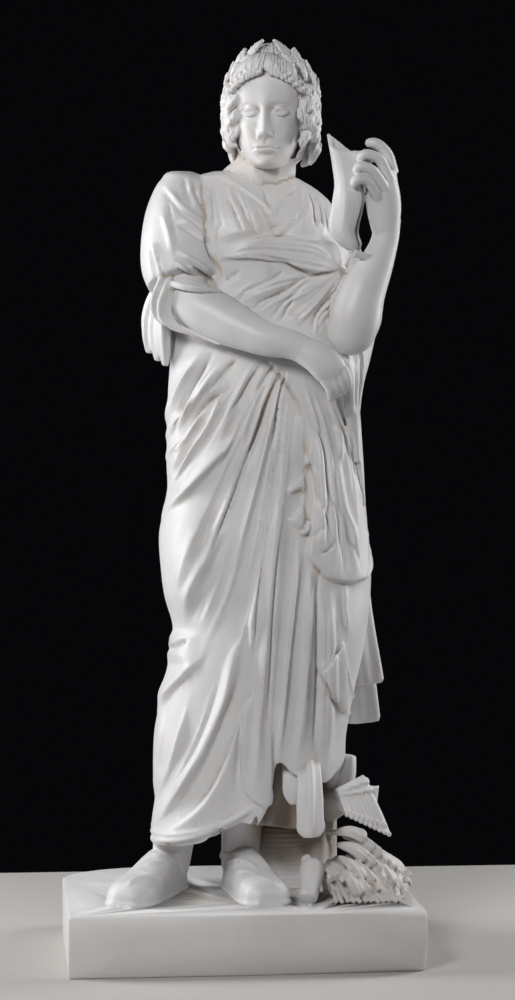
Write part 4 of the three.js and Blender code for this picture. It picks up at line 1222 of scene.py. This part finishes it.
def make_panpipes():
    """Reed pipes side by side with two bindings, leaning on the stump."""
    short = [seen(206, 322, -76), seen(222, 272, -90)]
    long_ = [seen(262, 350, -60), seen(319, 226, -90)]
    count = 8
    pieces = []

    def on_fan(across, down):
        head = short[0] * (1 - across) + long_[0] * across
        foot = short[1] * (1 - across) + long_[1] * across
        return head * (1 - down) + foot * down

    for i in range(count):
        k = (i + 0.5) / count
        mouth, end = on_fan(k, 0), on_fan(k, 1)
        pieces.append(limb(
            f"reed_{i}", [mouth, end], [(0, 4.6, 10), (0.9, 5.8, 11), (1, 5, 9)], 8, 6, finer=1,
        ))
    for j, down in enumerate((0.1, 0.24)):
        band = [on_fan(-0.04, down), on_fan(0.5, down), on_fan(1.04, down)]
        pieces.append(strand(f"binding_{j}", band, [(0, 7, 15), (1, 7, 15)], 3, 0.1, 0, 20))
    for i in range(10):
        for j, down in enumerate((0.84, 1.0)):
            pieces.append(lump(
                f"stud_{i}_{j}", on_fan((i + 0.5) / 10, down) + (0, -8, 0), (5, 8, 5.4), sides=12, rings=8,
            ))
    back = [on_fan(0, 0.5) + (0, 5, 0), on_fan(1, 0.5) + (0, 5, 0)]
    pieces.append(limb("pipe_board", back, [(0, 22, 3), (1, 40, 3)], side=(0, -1, 0)))
    pieces.append(limb(
        "pipe_back", [on_fan(0.3, 0.5) + (0, 16, 0), np.array((190, -10, 290))], [(0, 16, 16), (1, 34, 34)],
    ))
    return pieces


def make_sheaf():
    """A rough sheaf of ears fallen forward over its tie."""
    rng = np.random.default_rng(7)
    heap = lump("heap", (232, -96, 146), (76, 54, 48), (0, 0.25, 0), 48, 32)
    local = places_of(heap)
    rough = sum(2.2 * np.cos(local @ rng.normal(0, 0.16, 3) + rng.uniform(0, 6)) for _ in range(6))
    put(heap, local + normals_of(heap) * rough[:, None])
    pieces = [heap]
    for row in range(4):
        for i in range(7):
            root = seen(202 + 18 * i + 5 * row, 232 - 8 * i - 25 * row, -96 - 22 * row + 9 * i)
            slope = 0.25 + 0.24 * row + 0.12 * i + rng.uniform(-0.12, 0.12)
            run = 62 * np.array((math.cos(slope), -0.42, -math.sin(slope)))
            bones = [root, root + 0.5 * run + (0, -8, 8), root + run]
            rows = [(0, 4, 4), (0.3, 9, 8), (0.75, 12, 10), (0.93, 11, 9), (1, 6, 5)]
            pieces.append(strand(f"ear_{row}_{i}", bones, rows, 6, 0.16, i, 2.5, finer=2))
    for i in range(12):
        root = seen(196 + 8 * i, 130, -150)
        foot = np.array((182 + 12 * i, -196 - 4 * math.sin(2 * i), 122))
        pieces.append(limb(f"straw_{i}", [root, foot], [(0, 4, 4), (1, 4.5, 4)], 8, 6, finer=1))
    for i in range(26):
        at = np.array((150 + 190 * rng.uniform(), -40 - 130 * rng.uniform(), 132 + 46 * rng.uniform()))
        run = np.array((rng.normal(0, 16), -18 - 10 * rng.uniform(), rng.normal(4, 10)))
        bones = [at, at + run / 2 + (0, 0, 4), at + run]
        pieces.append(limb(f"husk_{i}", bones, [(0, 4, 4), (0.6, 6, 5), (1, 2, 2)], 8, 6, finer=1))
    tie = [seen(190, 232, -60), seen(214, 233, -100), seen(240, 236, -110), seen(262, 232, -90)]
    pieces.append(strand("sheaf_tie", tie, [(0, 6, 6), (1, 6, 6)], 3, 0.15, 0, 12))
    return pieces


def make_grip():
    """A tool's turned grip standing against the heap, with its knob."""
    grip = limb(
        "grip", [seen(158, 168, -120), seen(153, 130, -156), seen(148, 96, -192)],
        [(0, 23, 20), (0.15, 25, 21), (0.6, 21, 18), (0.9, 19, 16), (1, 18, 15)],
    )
    return [grip, lump("knob", (134, -104, 190), (13, 13, 15))]


# Where the plinth is chipped: a place on the break, and the way it faces.
CHIPS = [
    ((350, -290, 64), (1.0, -0.9, -0.32)),
    ((350, -276, 7), (1.0, -0.4, -1.2)),
    ((328, -290, 9), (0.35, -0.9, -1.2)),
    ((350, -281, 110), (0.9, -0.8, 1.0)),
    ((60, -289, 3), (0.03, -0.8, -1.0)),
    ((-349, -286, 115), (-0.8, -0.9, 0.9)),
    ((120, -289, 117), (0.05, -1.0, 1.0)),
]


def make_plinth():
    """The low plinth: square in front, rounded behind, softly edged and chipped."""
    half, depth, straight = 350.0, 580.0, 457.0
    form = bmesh.new()
    front = -depth / 2
    corners = [(-half, front), (half, front), (half, front + straight)]
    for k in np.linspace(0.12, 1, 10):
        back = front + straight + (depth - straight) * math.sin(math.pi / 2 * k)
        corners.append((half - 220 * k**1.6, back))
    corners += [(-x, y) for x, y in reversed(corners[2:])]
    verts = [form.verts.new(Vector((x, y, 0)) * MM) for x, y in corners]
    base = form.faces.new(verts)
    grown = bmesh.ops.extrude_face_region(form, geom=[base])
    top = [v for v in grown["geom"] if isinstance(v, bmesh.types.BMVert)]
    bmesh.ops.translate(form, verts=top, vec=(0, 0, PLINTH_TOP * MM))
    bmesh.ops.recalc_face_normals(form, faces=form.faces)
    bmesh.ops.bevel(
        form, geom=form.edges[:], offset=4 * MM, offset_type="OFFSET", segments=2, profile=0.5,
        affect="EDGES", material=-1,
    )
    for place, away in CHIPS:
        cut = bmesh.ops.bisect_plane(
            form, geom=form.verts[:] + form.edges[:] + form.faces[:],
            plane_co=Vector(place) * MM, plane_no=away, clear_outer=True,
        )
        rim = [e for e in cut["geom_cut"] if isinstance(e, bmesh.types.BMEdge)]
        bmesh.ops.edgeloop_fill(form, edges=rim)
    bmesh.ops.triangulate(form, faces=form.faces)
    return made("plinth", form)


# ---- Marble ------------------------------------------------------------------------------------------


def neighbours_mean(edges, degree, values):
    """Each point's values averaged over its neighbours."""
    total = np.stack([
        np.bincount(edges[:, 0], values[edges[:, 1], k], len(values))
        + np.bincount(edges[:, 1], values[edges[:, 0], k], len(values))
        for k in range(values.shape[1])
    ], -1)
    return total / degree[:, None]


# Rounds of averaging, the depth in millimetres that counts as full, and the share of each.
HOLLOW_WIDTHS = ((8, 1.6, 0.38), (24, 3.5, 0.38), (70, 9.0, 0.24))
FINE_GRAIN = 3.2


def mark_hollows(piece):
    """Stores how deep each place lies in its surroundings, at three widths, as the attribute hollow."""
    mesh = piece.data
    edges = np.empty(len(mesh.edges) * 2, np.int32)
    mesh.edges.foreach_get("vertices", edges)
    edges = edges.reshape(-1, 2)
    degree = np.maximum(np.bincount(edges.ravel(), minlength=len(mesh.vertices)), 1).astype(float)
    places, normals = places_of(piece), normals_of(piece)
    long_ = np.linalg.norm(places[edges[:, 0]] - places[edges[:, 1]], axis=1)
    grain = np.bincount(edges.ravel(), np.repeat(long_, 2), len(places)) / degree
    coarse = np.maximum(1, neighbours_mean(edges, degree, grain[:, None])[:, 0] / FINE_GRAIN) ** 1.5
    hollow = np.zeros(len(places))
    flat = places.copy()
    for rounds, depth, share in HOLLOW_WIDTHS:
        for _ in range(rounds):
            flat = neighbours_mean(edges, degree, flat)
        hollow += share * np.clip(((flat - places) * normals).sum(1) / (depth * coarse), -1, 1)
    mark = mesh.attributes.new("hollow", "FLOAT", "POINT")
    mark.data.foreach_set("value", np.clip(hollow, -1, 1).astype(np.float32))
    return piece


# Painted shade in the recesses under the right of the hem, by the stump and at the sheaf: a place in metres,
# how near it is full, how far it ends, and how much.
RECESS_SHADE = [
    ((0.095, -0.03, 0.33), 0.06, 0.125, 0.85), ((0.10, -0.02, 0.24), 0.05, 0.10, 0.7),
    ((0.16, 0.0, 0.24), 0.05, 0.11, 0.6), ((0.25, -0.12, 0.16), 0.06, 0.16, 0.22),
]


def marble_material(colours):
    """White statuary marble: faint grey clouds and veins, a tan patina in the hollows that is partly painted
    shade, painted shade in the deepest cuts, the recesses and on the plinth's sides, and a soft polish.
    """
    material = bpy.data.materials.new("marble")
    material.use_nodes = True
    nodes, links = material.node_tree.nodes, material.node_tree.links
    shader = nodes["Principled BSDF"]
    where = nodes.new("ShaderNodeTexCoord")
    hollow = nodes.new("ShaderNodeAttribute")
    hollow.attribute_name = "hollow"

    def noise(scale, detail, rough=0.5):
        node = nodes.new("ShaderNodeTexNoise")
        node.inputs["Scale"].default_value = scale
        node.inputs["Detail"].default_value = detail
        node.inputs["Roughness"].default_value = rough
        links.new(where.outputs["Object"], node.inputs["Vector"])
        return node.outputs["Fac"]

    def ramp(value, low, high, a=0.0, b=1.0):
        node = nodes.new("ShaderNodeMapRange")
        node.interpolation_type = "SMOOTHSTEP"
        node.inputs["From Min"].default_value = low
        node.inputs["From Max"].default_value = high
        node.inputs["To Min"].default_value = a
        node.inputs["To Max"].default_value = b
        links.new(value, node.inputs["Value"])
        return node.outputs["Result"]

    def tint(colour, fac, over):
        node = nodes.new("ShaderNodeMix")
        node.data_type = "RGBA"
        links.new(fac, node.inputs["Factor"])
        if colour is None:
            node.inputs["A"].default_value = colours.white
        else:
            links.new(colour, node.inputs["A"])
        node.inputs["B"].default_value = over
        return node.outputs["Result"]

    def times(a, b):
        node = nodes.new("ShaderNodeMath")
        node.operation = "MULTIPLY"
        links.new(a, node.inputs[0])
        if isinstance(b, float):
            node.inputs[1].default_value = b
        else:
            links.new(b, node.inputs[1])
        return node.outputs["Value"]

    clouds = ramp(noise(5.0, 6, 0.6), 0.42, 0.72)
    veins = ramp(noise(3.0, 10, 0.72), 0.485, 0.5)
    colour = tint(None, clouds, colours.grey)
    colour = tint(colour, times(veins, 0.06), colours.vein)
    colour = tint(colour, times(ramp(noise(2.2, 5, 0.6), 0.44, 0.68), 0.2), colours.warm_tone_and_shade)
    # Tan patina in the hollows, partly painted shade: creases and troughs are tinted by how deep they lie.
    hollow_patina_and_shade = times(ramp(hollow.outputs["Fac"], 0.08, 0.6), ramp(noise(9.0, 5, 0.6), 0.25, 0.6, 0.55, 1.0))
    colour = tint(colour, times(hollow_patina_and_shade, 0.8), colours.warm_tone_and_shade)
    # Painted shade: the deepest cuts are darkened.
    colour = tint(colour, times(ramp(hollow.outputs["Fac"], 0.4, 0.9), 0.6), colours.deep_shade)
    # Painted shade: spots darken the recesses under the right of the hem, by the stump and at the sheaf.
    for place, full, end, share in RECESS_SHADE:
        gap = nodes.new("ShaderNodeVectorMath")
        gap.operation = "DISTANCE"
        links.new(where.outputs["Object"], gap.inputs[0])
        gap.inputs[1].default_value = place
        spot = ramp(gap.outputs["Value"], full, end, 1.0, 0.0)
        colour = tint(colour, times(spot, share), colours.deep_shade)
    split = nodes.new("ShaderNodeSeparateXYZ")
    links.new(where.outputs["Object"], split.inputs["Vector"])
    # Painted shade: the plinth's sides are made darker than its top.
    block = ramp(split.outputs["Z"], 0.114, 0.121, 1.0, 0.0)
    colour = tint(colour, times(block, 0.45), colours.block)
    edges = ramp(split.outputs["Z"], 0.085, 0.119)
    stain = times(times(edges, block), ramp(noise(11.0, 6, 0.7), 0.46, 0.62))
    colour = tint(colour, times(stain, 0.5), colours.warm_tone_and_shade)
    links.new(colour, shader.inputs["Base Color"])
    links.new(ramp(hollow.outputs["Fac"], -0.3, 0.4, 0.42, 0.68), shader.inputs["Roughness"])
    shader.inputs["Subsurface Weight"].default_value = 0.12
    shader.inputs["Subsurface Radius"].default_value = (0.012, 0.01, 0.008)
    shader.inputs["Subsurface Scale"].default_value = 0.6
    bump = nodes.new("ShaderNodeBump")
    bump.inputs["Strength"].default_value = 0.12
    bump.inputs["Distance"].default_value = 0.0012
    links.new(noise(420.0, 4, 0.6), bump.inputs["Height"])
    links.new(bump.outputs["Normal"], shader.inputs["Normal"])
    return material


# ---- Stage -------------------------------------------------------------------------------------------


def area_light(name, place, aim, size, power, colour=(1, 1, 1)):
    """A soft rectangular light at a place, turned towards its aim."""
    data = bpy.data.lights.new(name, "AREA")
    data.shape = "RECTANGLE"
    data.size, data.size_y = size
    data.energy = power
    data.color = colour
    lamp = bpy.data.objects.new(name, data)
    bpy.context.scene.collection.objects.link(lamp)
    lamp.location = place
    lamp.rotation_euler = (Vector(aim) - Vector(place)).to_track_quat("-Z", "Y").to_euler()


def make_floor(stage):
    """A plain pale floor."""
    form = bmesh.new()
    bmesh.ops.create_grid(form, x_segments=2, y_segments=2, size=stage.floor)
    floor = made("floor", form)
    pale = bpy.data.materials.new("floor_pale")
    pale.use_nodes = True
    shader = pale.node_tree.nodes["Principled BSDF"]
    shader.inputs["Base Color"].default_value = stage.floor_colour
    shader.inputs["Roughness"].default_value = 0.7
    floor.data.materials.append(pale)


LENS = 97.38
CAMERA_AIM = (0.044, 0.0, 0.914)


def make_camera():
    """The camera at the standing viewer's eye."""
    camera = bpy.data.objects.new("camera", bpy.data.cameras.new("camera"))
    bpy.context.scene.collection.objects.link(camera)
    camera.data.lens = LENS
    camera.data.sensor_width = 36
    camera.location = EYE * MM
    aim = Vector(CAMERA_AIM)
    camera.rotation_euler = (aim - camera.location).to_track_quat("-Z", "Y").to_euler()
    bpy.context.scene.camera = camera


# ---- Add-on ------------------------------------------------------------------------------------------


class StatueCarving(bpy.types.PropertyGroup):
    """How finely each group of pieces is carved."""

    cloth_grain: FloatProperty(
        name="Cloth Grain", description="Grain of the cloth's skin", default=0.0024, unit="LENGTH",
    )
    arms_grain: FloatProperty(
        name="Arms Grain", description="Grain of the arms' skin", default=0.0018, unit="LENGTH",
    )
    head_grain: FloatProperty(
        name="Head Grain", description="Grain of the head's skin", default=0.00125, unit="LENGTH",
    )
    heap_grain: FloatProperty(
        name="Heap Grain", description="Grain of the attributes' skin", default=0.0017, unit="LENGTH",
    )
    cloth_faces: IntProperty(
        name="Cloth Faces", description="Triangles kept for the cloth and feet", default=90000,
    )
    arms_faces: IntProperty(
        name="Arms Faces", description="Triangles kept for the arms and parchment", default=24000,
    )
    head_faces: IntProperty(
        name="Head Faces", description="Triangles kept for the head and neck", default=48000,
    )
    heap_faces: IntProperty(name="Heap Faces", description="Triangles kept for the attributes", default=33000)


class StatueMarble(bpy.types.PropertyGroup):
    """The colours of the stone."""

    white: FloatVectorProperty(
        name="White", description="Clean marble", subtype="COLOR", size=4, default=(0.80, 0.795, 0.80, 1),
    )
    grey: FloatVectorProperty(
        name="Grey", description="Clouds in the marble", subtype="COLOR", size=4,
        default=(0.70, 0.70, 0.71, 1),
    )
    vein: FloatVectorProperty(
        name="Vein", description="Thin veins", subtype="COLOR", size=4, default=(0.6, 0.6, 0.62, 1),
    )
    # Tan tone: random clouds, the stain on the plinth's sides, and patina in the hollows that is partly
    # painted shade.
    warm_tone_and_shade: FloatVectorProperty(
        name="Warm", description="Age tint in the hollows", subtype="COLOR", size=4,
        default=(0.66, 0.59, 0.52, 1),
    )
    # Painted shade on the plinth's sides.
    block: FloatVectorProperty(
        name="Block", description="Plinth sides", subtype="COLOR", size=4, default=(0.60, 0.585, 0.565, 1),
    )
    # Painted shade in the deepest cuts and recesses.
    deep_shade: FloatVectorProperty(
        name="Brown", description="Dirt in the deepest cuts", subtype="COLOR", size=4,
        default=(0.34, 0.265, 0.20, 1),
    )


class StatueStage(bpy.types.PropertyGroup):
    """The studio around the statue."""

    floor: FloatProperty(name="Floor", description="Half the side of the floor", default=0.95, unit="LENGTH")
    floor_colour: FloatVectorProperty(
        name="Floor Colour", description="Pale floor", subtype="COLOR", size=4, default=(0.56, 0.54, 0.52, 1),
    )
    world: FloatVectorProperty(
        name="World", description="Dark surroundings", subtype="COLOR", size=4,
        default=(0.0022, 0.0022, 0.0026, 1),
    )
    key: FloatProperty(name="Key", description="Power of the key light", default=68.0, unit="POWER")
    fill: FloatProperty(name="Fill", description="Power of the fill light", default=13.0, unit="POWER")
    rim_left: FloatProperty(
        name="Left Rim", description="Power of the left edge light", default=50.0, unit="POWER",
    )
    rim_right: FloatProperty(
        name="Right Rim", description="Power of the right edge light", default=42.0, unit="POWER",
    )


class STATUE_OT_cloth(bpy.types.Operator):
    """Carves the robe, its hanging ends, the sleeve and the feet."""

    bl_idname = "statue.cloth"
    bl_label = "Carve Cloth"

    def execute(self, context):
        sizes = context.scene.statue_carving
        pieces = [make_robe(), *make_hanging_ends(), *make_cascade(), *make_sleeve(), *make_feet()]
        fused("cloth", pieces, sizes.cloth_grain / MM, sizes.cloth_faces, cloth_lines)
        return {"FINISHED"}


class STATUE_OT_arms(bpy.types.Operator):
    """Carves both arms and the parchment."""

    bl_idname = "statue.arms"
    bl_label = "Carve Arms"

    def execute(self, context):
        sizes = context.scene.statue_carving
        fused("arms", [*make_arms(), *make_parchment()], sizes.arms_grain / MM, sizes.arms_faces)
        return {"FINISHED"}


class STATUE_OT_head(bpy.types.Operator):
    """Carves the head, hair, wreath and neck."""

    bl_idname = "statue.head"
    bl_label = "Carve Head"

    def execute(self, context):
        sizes = context.scene.statue_carving
        pieces = [make_skull(), *make_hair(), *make_wreath(), make_neck()]
        fused("head", pieces, sizes.head_grain / MM, sizes.head_faces, hair_lines)
        return {"FINISHED"}


class STATUE_OT_heap(bpy.types.Operator):
    """Carves the attributes beside the feet."""

    bl_idname = "statue.heap"
    bl_label = "Carve Attributes"

    def execute(self, context):
        sizes = context.scene.statue_carving
        pieces = [*make_hive(), *make_stump(), *make_panpipes(), *make_sheaf(), *make_grip()]
        fused("heap", pieces, sizes.heap_grain / MM, sizes.heap_faces)
        return {"FINISHED"}


class STATUE_OT_plinth(bpy.types.Operator):
    """Cuts the low plinth."""

    bl_idname = "statue.plinth"
    bl_label = "Cut Plinth"

    def execute(self, context):
        make_plinth()
        return {"FINISHED"}


class STATUE_OT_unite(bpy.types.Operator):
    """Unites the carved groups into one solid of marble and gives it its stone."""

    bl_idname = "statue.unite"
    bl_label = "Unite Marble"

    def execute(self, context):
        whole = bpy.data.objects["cloth"]
        for name in ("arms", "head", "heap", "plinth"):
            other = bpy.data.objects[name]
            settle(whole, ("BOOLEAN", {"operation": "UNION", "solver": "MANIFOLD", "object": other}))
            bpy.data.objects.remove(other)
        whole.name = whole.data.name = "statue_marble"
        mark_hollows(whole)
        whole.data.materials.clear()
        whole.data.materials.append(marble_material(context.scene.statue_marble))
        whole.data.shade_smooth()
        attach(whole, "root")
        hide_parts("statue")
        return {"FINISHED"}


class STATUE_OT_stage(bpy.types.Operator):
    """Sets the floor, the lights and the camera."""

    bl_idname = "statue.stage"
    bl_label = "Set Stage"

    def execute(self, context):
        stage = context.scene.statue_stage
        make_floor(stage)
        world = bpy.data.worlds.new("studio")
        context.scene.world = world
        world.use_nodes = True
        world.node_tree.nodes["Background"].inputs["Color"].default_value = stage.world
        area_light("key", (-1.6, -3.1, 2.7), (0, 0, 0.9), (0.9, 0.9), stage.key, (1.0, 0.995, 0.99))
        area_light("fill", (2.0, -3.4, 1.2), (0, 0, 0.9), (2.0, 2.0), stage.fill, (0.96, 0.975, 1.0))
        area_light("rim_left", (-2.1, 0.35, 1.5), (0, 0, 1.0), (0.7, 2.4), stage.rim_left)
        area_light("rim_right", (2.2, 0.45, 1.6), (0.1, 0, 1.0), (0.7, 2.4), stage.rim_right)
        context.scene.view_settings.view_transform = "Standard"
        make_camera()
        return {"FINISHED"}


STEPS = (
    STATUE_OT_cloth, STATUE_OT_arms, STATUE_OT_head, STATUE_OT_heap, STATUE_OT_plinth, STATUE_OT_unite,
    STATUE_OT_stage,
)


class STATUE_PT_panel(bpy.types.Panel):
    """The steps of the carving, in order."""

    bl_idname = "STATUE_PT_panel"
    bl_label = "Marble Statue"
    bl_space_type = "VIEW_3D"
    bl_region_type = "UI"
    bl_category = "Statue"

    def draw(self, context):
        for step in STEPS:
            self.layout.operator(step.bl_idname)


GROUPS = {"statue_carving": StatueCarving, "statue_marble": StatueMarble, "statue_stage": StatueStage}
CLASSES = (*GROUPS.values(), *STEPS, STATUE_PT_panel)


def register():
    for kind in CLASSES:
        bpy.utils.register_class(kind)
    for name, group in GROUPS.items():
        setattr(bpy.types.Scene, name, PointerProperty(type=group))


def unregister():
    for name in GROUPS:
        delattr(bpy.types.Scene, name)
    for kind in reversed(CLASSES):
        bpy.utils.unregister_class(kind)


def main():
    register()
    bpy.ops.statue.cloth()
    bpy.ops.statue.arms()
    bpy.ops.statue.head()
    bpy.ops.statue.heap()
    bpy.ops.statue.plinth()
    bpy.ops.statue.unite()
    bpy.ops.statue.stage()


if __name__ == "__main__":
    main()
